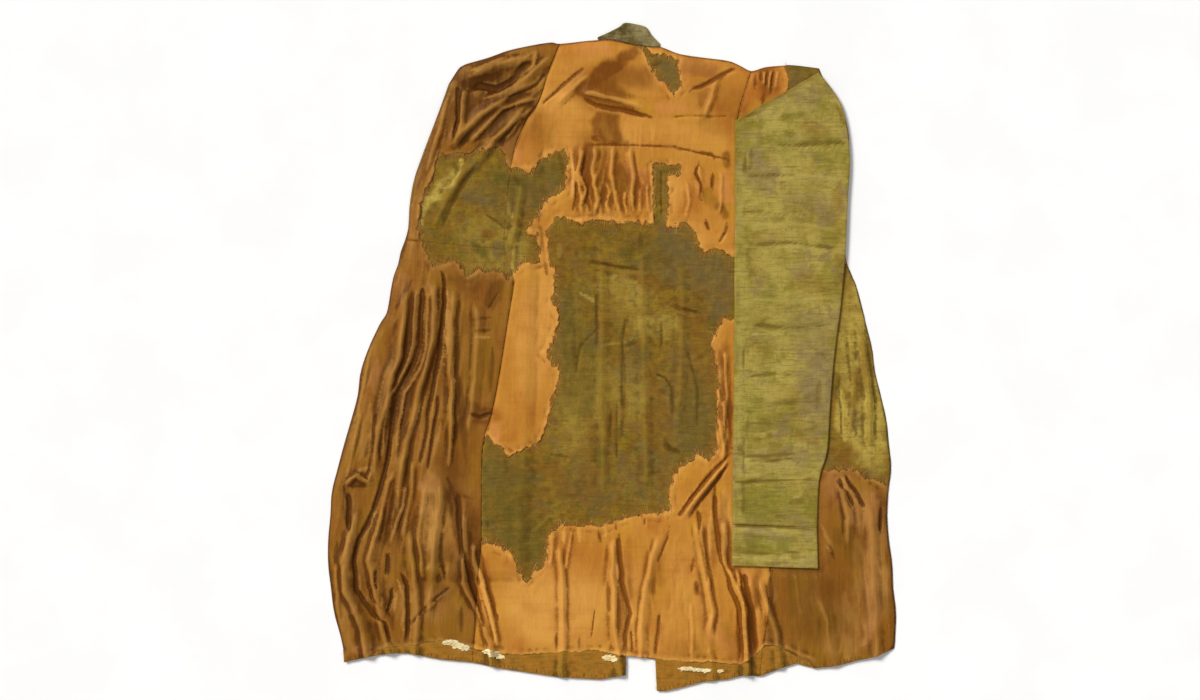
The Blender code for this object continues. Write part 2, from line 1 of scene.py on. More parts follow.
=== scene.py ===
"""The looks of a ceremonial mantle that lies flat, back up, with torn silk over coarser cloth.

+X is to the right seen from above, +Y points to the collar and +Z is up, as in the frame.
Every table and size is in millimetres, apart from the stage's sizes, which are in metres, and
the scales of the materials' noise, which are per metre.
"""

import math
from collections import namedtuple

import bpy
import numpy as np
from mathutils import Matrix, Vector
from mathutils.geometry import delaunay_2d_cdt


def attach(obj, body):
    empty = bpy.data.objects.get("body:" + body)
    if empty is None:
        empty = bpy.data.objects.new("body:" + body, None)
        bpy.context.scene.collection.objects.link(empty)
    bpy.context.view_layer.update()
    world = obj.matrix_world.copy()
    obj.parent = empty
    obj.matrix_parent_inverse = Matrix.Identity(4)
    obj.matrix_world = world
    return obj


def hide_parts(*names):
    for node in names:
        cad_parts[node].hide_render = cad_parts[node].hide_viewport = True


MM = 0.001

# The solids' sizes, as the frame has them
FRONT_WALL = 1.5
CLOTH_WALL = 1.5
SILK_WALL = 1.0
SLEEVE_WALL = 1.5
COLLAR_WALL = 1.5
PLY_GAP = 0.3
SLACK = 2.0
EDGE_RAMP = 24.0
SLEEVE_HOLLOW = 1.5
UNDER_SLEEVE_CLEARANCE = 0.6
LIFT_MARGIN = 5.0
LIFT_RAMP = 26.0
SLEEVE_MARGIN = 5.0
SLEEVE_PRESS = 14.0
FRONT_EDGE_X = 32.0
COLLAR_HOLLOW = 1.0
FOLD_END = 2.5

SLEEVE_THICKNESS = 2 * SLEEVE_WALL + SLEEVE_HOLLOW
SLEEVE_LIFT = SLEEVE_THICKNESS + UNDER_SLEEVE_CLEARANCE
CLOTH_LOW = FRONT_WALL + PLY_GAP
OVER_SLEEVE_LOW = CLOTH_LOW + SLACK + CLOTH_WALL + PLY_GAP + SILK_WALL + PLY_GAP

# The shells
CLOTH_SHELL = 0.9
SILK_SHELL = 0.35
SHELL_LESS = 0.2  # how much thinner a hidden ply's shell is than its solid
FRONT_LESS = 0.1  # how far a front's face lies below its solid's
SILK_LIFT = 0.35  # from the cloth's face to the silk's back
SILK_PUFF = 1.3  # how much further the silk stands off, away from its edges
SILK_LEAST = 0.12
SILK_OVER_CLOTH = 0.35
CLOTH_OVER_FRONT = 0.1
CLOTH_LEAST_DETAIL = -1.8
EDGE_ROLL = 7.0  # the width over which the side edges roll down to the fronts
EDGE_LOW = 0.9
CLOTH_EDGE = 10.0
SILK_EDGE = 14.0
CLOTH_INSET = 1.6  # how far the cloth under whole silk stays back from the side edges
SEAM_DIP = 1.3
SEAM_DIP_WIDTH = 5.0
CURL_WIDTH = 9.0
CURL_HEIGHT = 2.6
TORN_DEPTH = 4.2
HEM_DEPTH = 1.2
TUBE_ROLL = 2.6
TUBE_SHELL = 0.9
TUBE_EDGE_DETAIL = 8.0
TUBE_EDGES = np.array([0.0, 0.0012, 0.004, 0.009, 0.018])

# How finely the sheets are divided
SILK_STEP = 3.3
CLOTH_STEP = 4.2
HIDDEN_STEP = 13.0
RIP_STEP = 3.0
OUTLINE_STEP = 5.0
EDGE_STEP = 22.0
COLLAR_STEP = 2.0
CREASE_STEP = 4.0
CELL = 2.2  # no two loose points share a cell of this size
SHADE_ROUNDS = 14
CLOTH_MARGIN = 14.0  # how far under whole silk the cloth is as fine as where it shows

# Folds and creases
CLOTH_RISE_WIDTH = 6.0  # how far under the silk's torn edges the cloth stays up
MOST_LEAN = 0.7
FOLD_CREST = 0.17  # how round a crest is, as a share of the half width
CREASE_CREST = 0.16
CREASE_SHARE = 1.15
CREST_POWER = 1.7
FLOW_STARTS = (0.0, 240.0, 740.0)
FLOW_WIDTHS = (240.0, 500.0, 240.0)

FAR = 1000.0
FAR_BELOW = -700.0
HEM_TINT = 0.95
TEAR_SHADE = 5.0  # the width over which the silk is lighter, and the cloth carries a painted shadow, along a torn edge

# Loose threads
FRAY_SPACING = 2.6
FRAY_LENGTHS = (5.0, 20.0)
FRAY_RADII = (0.25, 0.75)
STITCH_SPACING = 7.5
STITCH_HEIGHTS = (3.5, 8.0)
STITCH_RADII = (0.3, 0.6)
FIBRE_LENGTHS = (4.0, 10.0)
FIBRE_RADII = (0.8, 1.7)

# The stage, in metres
FLOOR_HALF = 6.0
FLOOR_Z = -0.0002
LAMP_DISTANCE = 5.0
LENS = 100.0
SENSOR = 36.0
CAMERA_PLACE = (-0.0225, 0.0131, 6.25)
WORLD_STRENGTH = 0.3

Section = namedtuple("Section", "y left right")
Point = namedtuple("Point", "x y")
Ring = namedtuple("Ring", "left_x left_y right_x right_y")
Band = namedtuple("Band", "x low high")
Fold = namedtuple("Fold", "height half_width lean path")
Patch = namedtuple("Patch", "x y half_x half_y turn share")
Stroke = namedtuple("Stroke", "half_width share path")
Ripple = namedtuple("Ripple", "share width height seed octaves")
Clump = namedtuple("Clump", "x y half_x half_y fibres")
Cut = namedtuple("Cut", "width length area rests_on")
Light = namedtuple("Light", "name strength azimuth elevation angle")
Silk = namedtuple("Silk", "base dark light red gold pink tan")


def rows(kind, table):
    """A table's rows, with their columns named."""
    return [kind(*row) for row in table]


# Soft unevenness: how strong, the width and height of its patches, a seed and the octaves
WANDER_X = rows(Ripple, [(9.0, 34.0, 34.0, 81, 3)])
WANDER_Y = rows(Ripple, [(10.0, 34.0, 34.0, 83, 3)])
TREMBLE_X = rows(Ripple, [(1.4, 14.0, 20.0, 85, 2)])
TREMBLE_Y = rows(Ripple, [(1.6, 16.0, 18.0, 87, 2)])
SILK_SWELL = rows(Ripple, [(0.5, 90.0, 110.0, 5, 1), (0.2, 24.0, 30.0, 6, 1)])
SILK_FRILL = rows(Ripple, [(0.8, 7.0, 13.0, 33, 2), (0.5, 15.0, 9.0, 35, 1)])
CURL = rows(Ripple, [(1.0, 26.0, 30.0, 31, 1)])
CLOTH_PUCKERS = rows(Ripple, [(0.5, 17.0, 12.0, 21, 2), (0.28, 6.5, 5.0, 22, 1)])
CLOTH_SWELL = rows(Ripple, [(0.35, 80.0, 60.0, 23, 1)])
SLEEVE_PUCKERS = rows(Ripple, [(0.4, 22.0, 9.0, 61, 2), (0.18, 9.0, 3.6, 62, 1)])
SLEEVE_SWELL = rows(Ripple, [(0.5, 90.0, 70.0, 63, 1)])
LINING_SWELL = rows(Ripple, [(0.15, 30.0, 30.0, 66, 1)])
COLLAR_PUCKERS = rows(Ripple, [(0.3, 22.0, 4.0, 67, 2)])

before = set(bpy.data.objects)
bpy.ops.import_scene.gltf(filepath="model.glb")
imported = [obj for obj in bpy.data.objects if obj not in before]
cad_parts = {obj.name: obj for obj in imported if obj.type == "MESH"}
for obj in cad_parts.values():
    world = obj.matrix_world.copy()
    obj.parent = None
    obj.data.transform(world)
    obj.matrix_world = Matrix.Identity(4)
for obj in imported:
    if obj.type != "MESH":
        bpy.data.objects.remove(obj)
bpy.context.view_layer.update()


# The garment's width at each height, from the shoulder corners to the hem's corners
BODY_SECTIONS = rows(Section, [
    (512, -306, 400), (467, -322, 430), (422, -339, 443), (377, -356, 445), (332, -371, 444),
    (287, -379, 441), (242, -382, 439), (219, -388, 437), (197, -396, 437), (174, -401, 441),
    (152, -409, 450), (129, -414, 459), (84, -422, 471), (62, -435, 476), (17, -456, 487), (-28, -471, 493),
    (-73, -477, 504), (-118, -489, 514), (-163, -502, 519), (-208, -514, 523), (-253, -525, 518),
    (-298, -528, 516), (-343, -532, 519), (-388, -532, 525), (-433, -527, 527), (-478, -521, 532),
    (-523, -509, 531), (-546, -504, 529),
])

# The top edge from the left shoulder's corner to the right one's, over the neck seam
SHOULDER_LINE = rows(Point, [
    (-292, 534), (-278, 547), (-232, 561), (-188, 576), (-120, 589), (-97, 587), (-52, 592), (-28, 594),
    (-9, 596), (13, 592), (45, 585), (77, 581), (92, 581), (127, 568), (172, 561), (217, 555), (240, 546),
    (261, 536), (287, 543), (319, 546), (339, 547), (388, 541),
])

# The hem from left to right, round the vent at the centre back
HEM_LINE = rows(Point, [
    (-502, -572), (-454, -561), (-414, -555), (-382, -555), (-324, -566), (-261, -572), (-210, -583),
    (-172, -589), (-97, -600), (-22, -604), (26, -596), (26, -559), (81, -566), (84, -626), (99, -626),
    (131, -619), (169, -609), (216, -604), (246, -596), (277, -598), (317, -583), (345, -574), (379, -583),
    (420, -579), (461, -568), (495, -561),
])

# Where the silk ends above the hem, and the cloth shows below it
SILK_HEM = rows(Point, [
    (-461, -566), (-431, -544), (-369, -540), (-324, -532), (-238, -551), (-172, -557), (-22, -551),
    (26, -559), (81, -566), (240, -576), (270, -560), (286, -540), (315, -544), (371, -577), (379, -592),
])

# Armhole and side seam, from the shoulder to the hem
LEFT_SEAM = rows(Point, [
    (-97, 587), (-118, 536), (-137, 478), (-161, 441), (-184, 382), (-196, 290), (-201, 201), (-184, 142),
    (-195, 66), (-210, -30), (-225, -107), (-242, -174), (-244, -334), (-249, -397), (-252, -426),
    (-256, -500), (-261, -572),
])
RIGHT_SEAM = rows(Point, [
    (261, 536), (236, 448), (240, 380), (262, 290), (268, 178), (278, -120), (296, -399), (284, -538),
    (277, -598),
])
LEFT_UNDERARM = rows(Point, [(-388, 219), (-374, 218), (-201, 201)])
RIGHT_UNDERARM = rows(Point, [(268, 178), (441, 174)])

# Torn places in the silk
RIPS = {
    "shoulder": rows(Point, [
        (-322, 382), (-268, 377), (-214, 394), (-191, 354), (-144, 354), (-120, 382), (-90, 388),
        (-82, 362), (-90, 313), (-126, 285), (-159, 238), (-139, 234), (-136, 178), (-172, 167),
        (-193, 146), (-204, 157), (-249, 161), (-268, 148), (-294, 178), (-334, 167), (-351, 210),
        (-364, 242), (-358, 292), (-334, 351),
    ]),
    "centre": rows(Point, [
        (-103, 261), (-69, 255), (-22, 262), (24, 253), (77, 253), (77, 358), (127, 358), (127, 345),
        (105, 339), (103, 246), (127, 251), (152, 240), (169, 199), (236, 194), (236, 68), (210, 67),
        (187, 26), (201, -36), (195, -110), (199, -176), (180, -197), (160, -186), (136, -202), (118, -226),
        (107, -266), (114, -289), (84, -298), (54, -291), (-22, -321), (-92, -313), (-114, -324),
        (-126, -388), (-161, -420), (-187, -373), (-240, -343), (-262, -330), (-262, -165), (-232, -145),
        (-191, -187), (-137, -163), (-118, -107), (-99, -30), (-126, 7), (-99, 66), (-114, 103),
        (-107, 157), (-118, 178), (-122, 234),
    ]),
    "neck": rows(Point, [
        (52, 579), (129, 557), (124, 549), (131, 506), (116, 489), (86, 519),
    ]),
    "gore": rows(Point, [
        (380, 190), (560, 190), (560, -262), (519, -247), (484, -227), (446, -208), (407, -216),
        (380, -205),
    ]),
    "sleeve_head": rows(Point, [
        (321, 565), (330, 519), (324, 478), (400, 440), (470, 440), (470, 565),
    ]),
}
RIPS_OF_PANEL = {
    "sleeve_left_head": ("shoulder",),
    "gore_left": ("shoulder",),
    "back": ("shoulder", "centre", "neck"),
    "gore_right": ("gore",),
    "sleeve_right_head": ("sleeve_head",),
}


# The sleeve folded over the back: its two edges at each ring, from its head to its cuff
OVER_SLEEVE = rows(Ring, [
    (230, 442, 387, 533), (230, 398, 430, 470), (230, 330, 445, 382), (230, 245, 441, 287),
    (229, 165, 437, 195), (229, 80, 428, 92), (228, 0, 417, 8), (228, -90, 409, -85),
    (227, -175, 403, -175), (226, -230, 388, -231), (226, -314, 384, -320),
])
OVER_CUFF = rows(Ring, [(226, -314, 384, -320), (225, -355, 385, -359), (225, -391, 386, -396)])

# The sleeve folded under the body
UNDER_SLEEVE = rows(Ring, [
    (-303, 504, -160, 440), (-320, 462, -160, 392), (-352, 384, -158, 330), (-376, 287, -162, 250),
    (-366, 200, -165, 170), (-356, 100, -168, 90), (-352, 0, -170, 0), (-350, -100, -172, -100),
    (-348, -200, -176, -200), (-345, -310, -185, -310),
])
UNDER_CUFF = rows(Ring, [(-345, -310, -185, -310), (-345, -390, -186, -390)])

# The collar's lower and upper edge, across the neck
COLLAR_BANDS = rows(Band, [
    (-27, 595, 599), (-9, 597, 607), (13, 593, 618), (24, 590, 626), (43, 586, 624), (64, 583, 618),
    (73, 582, 605), (90, 582, 587),
])

SILK_OF_PANEL = {
    "sleeve_left_head": "brown_silk",
    "gore_left": "brown_silk",
    "back": "orange_silk",
    "gore_right": "brown_silk",
    "sleeve_right_head": "orange_silk",
}


# The solids' main folds, eight of them lower or starting further down: height, half of the width,
# which way the crest leans (from -1 to 1, to the left of the path if above 0), and the crest's line
FOLDS = rows(Fold, [
    (9, 16, -0.4, [(-150, 560), (-219, 543), (-275, 515)]),
    (10, 18, 0.3, [(-140, 525), (-247, 456), (-318, 388)]),
    (7, 15, 0.4, [(-150, 486), (-240, 390), (-290, 330)]),
    (5, 12, 0, [(-170, 330), (-180, 250), (-190, 190)]),
    (10, 17, 0.5, [(-337, 150), (-339, 32), (-362, -50), (-390, -156), (-407, -268)]),
    (7, 14, 0.4, [(-298, 130), (-302, -20), (-306, -170)]),
    (9, 16, 0.5, [(-386, 140), (-401, 13), (-435, -118), (-454, -230)]),
    (5, 13, -0.3, [(-250, 110), (-254, -40), (-268, -150)]),
    (10, 17, -0.4, [(-474, -290), (-499, -384), (-495, -437), (-470, -493), (-440, -625)]),
    (8, 16, -0.5, [(-428, -290), (-450, -381), (-435, -456), (-398, -625)]),
    (6, 14, 0.4, [(-384, -320), (-369, -440), (-374, -625)]),
    (6, 16, 0.2, [(-322, -220), (-334, -370), (-349, -500)]),
    (9, 12, -0.5, [(-274, -290), (-274, -420), (-236, -500), (-208, -640)]),
    (5, 9, 0.3, [(-60, 398), (-66, 340), (-56, 275)]),
    (5, 10, -0.3, [(-30, 404), (-36, 350), (-22, 278)]),
    (5, 10, 0.4, [(0, 402), (-4, 340), (6, 275)]),
    (4, 9, 0.3, [(31, 396), (38, 340), (35, 270)]),
    (5, 13, -0.6, [(-62, 503), (0, 490), (75, 466)]),
    (4, 12, 0.3, [(-38, 540), (-110, 470)]),
    (4, 9, 0.4, [(157, 370), (166, 285)]),
    (4, 11, 0.3, [(200, 530), (165, 440)]),
    (3, 15, 0, [(-18, 220), (-20, 0), (-16, -270)]),
    (3, 15, 0, [(56, 215), (60, -20), (64, -260)]),
    (3, 15, 0, [(128, 180), (132, 20), (120, -150)]),
    (6, 11, 0.5, [(-2, -335), (0, -480), (20, -640)]),
    (4.5, 13, -0.5, [(92, -330), (64, -437), (58, -520), (52, -640)]),
    (5, 11, 0.2, [(-100, -350), (-92, -470), (-96, -650)]),
    (7, 9, 0.3, [(206, -70), (208, -205)]),
    (8, 10, 0.5, [(206, -205), (129, -300)]),
    (8, 12, 0.5, [(158, -300), (170, -400), (184, -480), (182, -530)]),
    (3, 13, 0.3, [(176, -520), (186, -590), (188, -660)]),
    (10, 12, 0.5, [(206, -300), (212, -390), (246, -474), (254, -660)]),
    (6, 11, 0.3, [(272, -412), (306, -520), (322, -640)]),
    (5, 18, 0.2, [(480, -268), (486, -381), (497, -620)]),
    (3.5, 20, 0, [(372, -425), (404, -500), (420, -630)]),
    (6, 13, 0.2, [(464, 100), (478, -43), (484, -180)]),
    (5, 12, -0.3, [(430, -225), (446, -300), (440, -360)]),
])

# Creases of the silk, as the folds, with troughs below 0
SILK_CREASES = rows(Fold, [
    # the left sleeve's head
    (5, 10, -0.5, [(-109, 564), (-154, 525), (-184, 501), (-246, 476)]),
    (-8, 9, 0, [(-150, 554), (-170, 540), (-190, 514), (-216, 501), (-248, 508), (-266, 500)]),
    (4, 7, 0.4, [(-140, 580), (-148, 546), (-165, 531)]),
    (5, 9, 0.6, [(-139, 491), (-208, 465), (-246, 428), (-272, 403)]),
    (4, 8, 0.6, [(-165, 459), (-197, 428), (-232, 398)]),
    (3.5, 7, 0.5, [(-150, 470), (-176, 439), (-203, 401)]),
    (5, 8, -0.5, [(-272, 505), (-281, 439), (-294, 388)]),
    (-4, 5, 0, [(-289, 508), (-289, 444), (-300, 407)]),
    (4, 9, 0.4, [(-309, 501), (-326, 426), (-351, 341)]),
    (4, 8, 0.5, [(-193, 566), (-248, 546), (-274, 534)]),
    (-3, 5, 0, [(-122, 536), (-140, 512), (-200, 480)]),
    # the back, below the neck and the shoulders
    (-3, 4.5, 0, [(-49, 544), (-73, 525), (-105, 497), (-135, 472)]),
    (-4, 6, 0, [(-54, 487), (-30, 471), (15, 465), (71, 450)]),
    (-3, 6, 0, [(240, 544), (206, 529), (165, 506), (146, 501)]),
    (-1.8, 3.5, 0, [(-41, 398), (60, 396), (109, 394), (165, 382), (230, 366)]),
    (-1.4, 5, 0, [(109, 450), (165, 451), (221, 449)]),
    (-3.5, 4.5, 0, [(161, 362), (157, 343), (167, 324), (167, 289)]),
    (-2.5, 4, 0, [(184, 345), (189, 313)]),
    (-3, 4, 0, [(214, 373), (225, 354)]),
    (-2.5, 4, 0, [(174, 255), (184, 233)]),
    (-3, 4.5, 0, [(214, 238), (199, 210)]),
    (2.5, 5, 0.5, [(200, 352), (206, 300), (199, 262)]),
    (2, 5, 0.3, [(139, 330), (146, 290), (139, 256)]),
    (4, 6, 0.5, [(-24, 350), (-34, 322), (-26, 296), (-36, 264)]),
    (3.5, 5, -0.4, [(-8, 330), (-2, 308), (-10, 284), (-2, 262)]),
    (4, 6, 0.4, [(-54, 392), (-62, 350), (-50, 312), (-60, 284), (-54, 264)]),
    (3, 5, 0.5, [(10, 318), (8, 292), (14, 266)]),
    (3, 4, 0.4, [(28, 312), (24, 290), (30, 264)]),
    (3, 4, -0.4, [(43, 306), (42, 268)]),
    (2.5, 4, 0.4, [(54, 318), (52, 268)]),
    (2.5, 4, -0.4, [(66, 326), (68, 268)]),
    (3, 6, 0.4, [(-78, 392), (-72, 340), (-78, 290)]),
    (-3, 4, 0, [(-40, 330), (-46, 300), (-40, 270)]),
    (-3, 4, 0, [(-66, 330), (-68, 300), (-74, 272)]),
    # the left gore, from its top to the hem
    (-6, 6, 0, [(-356, 131), (-360, 28), (-371, -11), (-401, -68), (-411, -126), (-418, -180),
        (-429, -227), (-441, -275), (-461, -321), (-476, -343), (-482, -384), (-480, -437), (-452, -480),
        (-424, -501), (-409, -555)]),
    (4, 6, -0.5, [(-366, 125), (-371, 25), (-384, -20), (-413, -75), (-423, -130), (-432, -190)]),
    (4, 6, 0.5, [(-346, 125), (-349, 25), (-359, -20), (-389, -68), (-399, -126), (-406, -180)]),
    (-5, 6, 0, [(-317, 165), (-313, 103), (-321, 28), (-326, -9), (-339, -77), (-349, -146), (-362, -202)]),
    (-4, 5, 0, [(-326, -71), (-326, -105), (-336, -146), (-347, -212)]),
    (4, 7, 0.4, [(-300, -51), (-300, -133), (-309, -212)]),
    (3, 7, 0.4, [(-304, 88), (-306, -43)]),
    (6, 8, 0.4, [(-504, -244), (-478, -223), (-454, -238), (-450, -212)]),
    (-5, 7, 0, [(-495, -249), (-493, -291), (-491, -334)]),
    (-4, 5, 0, [(-441, -395), (-441, -445)]),
    (-4, 5, 0, [(-422, -364), (-422, -413)]),
    (-4.5, 5, 0, [(-416, -431), (-412, -452), (-424, -486)]),
    (-4.5, 5.5, 0, [(-396, -405), (-384, -431), (-382, -486), (-386, -548)]),
    (-2.5, 5, 0, [(-321, -384), (-313, -420)]),
    (-2.2, 5, 0, [(-300, -430), (-339, -461), (-380, -503)]),
    (-6, 9, 0, [(-291, -250), (-281, -328), (-272, -399), (-257, -442), (-244, -486), (-232, -556)]),
    (6, 8, 0.5, [(-261, -343), (-259, -390), (-244, -422), (-229, -474), (-216, -545)]),
    (-3.5, 4.5, 0, [(-234, -427), (-223, -465), (-212, -495)]),
    (5, 7, 0.5, [(-411, -214), (-422, -238), (-435, -306), (-450, -352)]),
    (4, 6, 0.5, [(-392, -238), (-394, -278), (-405, -311), (-418, -352)]),
    (3.5, 7, 0.4, [(-375, -193), (-381, -268), (-394, -343)]),
    (-3, 5, 0, [(-442, -105), (-450, -174), (-461, -231)]),
    (3, 7, 0, [(-516, -381), (-517, -437), (-506, -531)]),
    (-2.5, 5, 0, [(-383, 219), (-398, 178), (-407, 135)]),
    (-1.4, 4, 0, [(-210, 126), (-222, 108), (-232, 88)]),
    (-1.5, 7, 0, [(-266, 47), (-219, 51)]),
    (-3, 6, 0, [(-270, -105), (-248, -113), (-222, -103)]),
    (3, 6, 0.4, [(-470, -100), (-487, -170), (-498, -225)]),
    (3, 6, 0.4, [(-452, 20), (-468, -60), (-480, -120)]),
    (-3, 5, 0, [(-458, -420), (-448, -452), (-430, -474)]),
    (3, 6, 0.3, [(-352, -240), (-362, -330), (-357, -420)]),
    # the silk strip and the bottom right of the back
    (4, 5, 0.5, [(195, -6), (199, -109), (202, -160)]),
    (4, 5, -0.5, [(212, 13), (216, -81), (218, -160)]),
    (-4, 4, 0, [(206, -6), (207, -109), (210, -170)]),
    (-4, 5.5, 0, [(217, -184), (165, -246), (122, -302)]),
    (-4, 5.5, 0, [(236, -178), (192, -233), (150, -288)]),
    (3, 6, 0, [(228, -182), (178, -238), (134, -296)]),
    (-5, 6, 0, [(161, -285), (165, -343), (180, -430)]),
    (-6, 6, 0, [(191, -255), (192, -285), (199, -343), (206, -384), (221, -427), (236, -461), (242, -531),
        (242, -590)]),
    (6, 6, 0.6, [(228, -390), (244, -456), (250, -531), (254, -600)]),
    (-5, 7, 0, [(246, -400), (263, -474), (272, -556)]),
    (-1.8, 3.5, 0, [(107, -330), (83, -388)]),
    (-3.5, 5, 0, [(88, -480), (84, -544), (83, -600)]),
    (-5, 7, 0, [(13, -335), (17, -420), (26, -451), (33, -482), (24, -523), (24, -562)]),
    (-3, 4, 0, [(36, -510), (38, -556)]),
    (-2.5, 3.5, 0, [(-26, -326), (-18, -348)]),
    (-2.5, 4, 0, [(7, -305), (9, -330)]),
    (-2, 3.5, 0, [(61, -292), (61, -318)]),
    (-2, 4, 0, [(148, -383), (148, -408)]),
    (-2.5, 5, 0, [(157, -423), (159, -446)]),
    (-1.6, 3, 0, [(-32, -470), (-39, -528)]),
    (-2, 3, 0, [(-104, -521), (-104, -548)]),
    (2.5, 5, 0.4, [(-76, -320), (-88, -400)]),
    (2.5, 5, 0.4, [(-110, -330), (-118, -395)]),
    (2, 6, 0.3, [(146, -460), (150, -540), (146, -590)]),
    # the right gore
    (-3.5, 4, 0, [(426, -225), (454, -281)]),
    (-3.5, 4, 0, [(437, -221), (478, -281)]),
    (3, 4, 0.2, [(433, -225), (466, -283)]),
    (-3, 5, 0, [(504, -200), (500, -232)]),
    (-4, 5, 0, [(504, -275), (501, -330)]),
    (2.5, 5, 0.4, [(399, -348), (414, -370)]),
    (-4, 6, 0, [(321, -546), (351, -567), (381, -583)]),
    (3, 7, 0, [(318, -536), (351, -556), (388, -572)]),
    # the reddish puckers on the right sleeve's head
    (-3.5, 4, 0, [(279, 540), (283, 512)]),
    (-3, 4, 0, [(293, 538), (290, 500)]),
    (-2.5, 4, 0, [(303, 540), (300, 490), (296, 470)]),
    (2.5, 4, 0.3, [(286, 538), (287, 505)]),
    (2.5, 4, 0.3, [(298, 540), (295, 500)]),
    (2, 4, 0.3, [(310, 540), (308, 500)]),
])

# Creases of the cloth where the silk is gone
CLOTH_CREASES = rows(Fold, [
    (5, 14, 0.5, [(-268, 376), (-304, 313), (-342, 240)]),
    (-2.5, 6, 0, [(-246, 376), (-286, 313), (-320, 240)]),
    (1.6, 3, 0, [(-183, 210), (-181, 142)]),
    (-2.4, 4.5, 0, [(-29, 125), (-29, 18)]),
    (-2.4, 4.5, 0, [(24, 78), (19, -11), (18, -95)]),
    (-1.8, 4, 0, [(9, -81), (9, -195)]),
    (-1.6, 3.5, 0, [(-2, -98), (-2, -158)]),
    (-2.6, 4, 0, [(-45, 178), (6, 171), (56, 163)]),
    (1.6, 5, 0, [(-45, 169), (6, 162), (56, 154)]),
    (1.4, 5, 0, [(-4, 22), (26, 33), (52, 34)]),
    (-1.6, 4, 0, [(12, 15), (50, 28)]),
    (-2.6, 4, 0, [(113, 100), (139, 89), (166, 82)]),
    (1.6, 4, 0, [(109, 91), (136, 80), (163, 73)]),
    (-2.6, 4, 0, [(80, -29), (101, -41), (111, -60), (118, -114)]),
    (1.6, 4, 0, [(104, -70), (110, -116)]),
    (-3, 6, 0, [(100, -158), (110, -172), (130, -178)]),
    (-1.6, 4, 0, [(92, 66), (92, 18)]),
    (-2, 4, 0, [(-232, -300), (-232, -324)]),
    (-1.8, 6, 0, [(-20, 60), (-60, 20), (-70, -40)]),
    (-1.8, 6, 0, [(140, 20), (160, -60), (158, -140)]),
    (1.8, 7, 0, [(-150, -330), (-120, -300), (-80, -290)]),
    (-1.6, 5, 0, [(-240, 270), (-200, 240), (-170, 250)]),
    (2, 6, 0, [(-290, 230), (-240, 210), (-212, 220)]),
    (-2, 4, 0, [(92, 350), (92, 262)]),
    (1.8, 4, 0, [(80, 350), (80, 262)]),
    (-3, 7, 0, [(462, 150), (478, 20), (494, -90)]),
    (2.5, 6, 0, [(448, 60), (452, -60), (446, -150)]),
    (-2, 5, 0, [(428, 60), (424, -40), (430, -150)]),
])

# Creases of the sleeve that lies on the back
SLEEVE_CREASES = rows(Fold, [
    (-1.5, 6, 0, [(303, 398), (360, 396), (440, 402)]),
    (-1.2, 5, 0, [(249, 384), (249, 340)]),
    (-1, 5, 0, [(249, 340), (300, 341), (348, 338)]),
    (-0.9, 5, 0, [(246, 20), (246, -300)]),
    (-1.1, 6, 0, [(250, -36), (310, -32), (380, -38)]),
    (-1.1, 6, 0, [(245, -84), (320, -88), (400, -80)]),
    (-1.3, 6, 0, [(240, -186), (300, -184), (352, -180)]),
    (-1.4, 5, 0, [(228, -235), (310, -231), (390, -226)]),
    (0.9, 6, 0, [(228, -229), (310, -225), (390, -220)]),
    (-1.4, 5, 0, [(227, -315), (310, -318), (384, -324)]),
    (0.8, 6, 0, [(227, -322), (310, -325), (384, -331)]),
    (-1, 5, 0, [(227, -366), (310, -368), (384, -362)]),
    (1.2, 6, 0, [(300, 330), (360, 338), (430, 330)]),
    (1.4, 9, 0, [(250, 240), (330, 250), (430, 236)]),
    (-1.2, 7, 0, [(260, 210), (330, 214), (420, 204)]),
    (1.2, 8, 0, [(250, 110), (330, 102), (420, 112)]),
    (-1.2, 6, 0, [(262, 60), (340, 54), (412, 60)]),
])


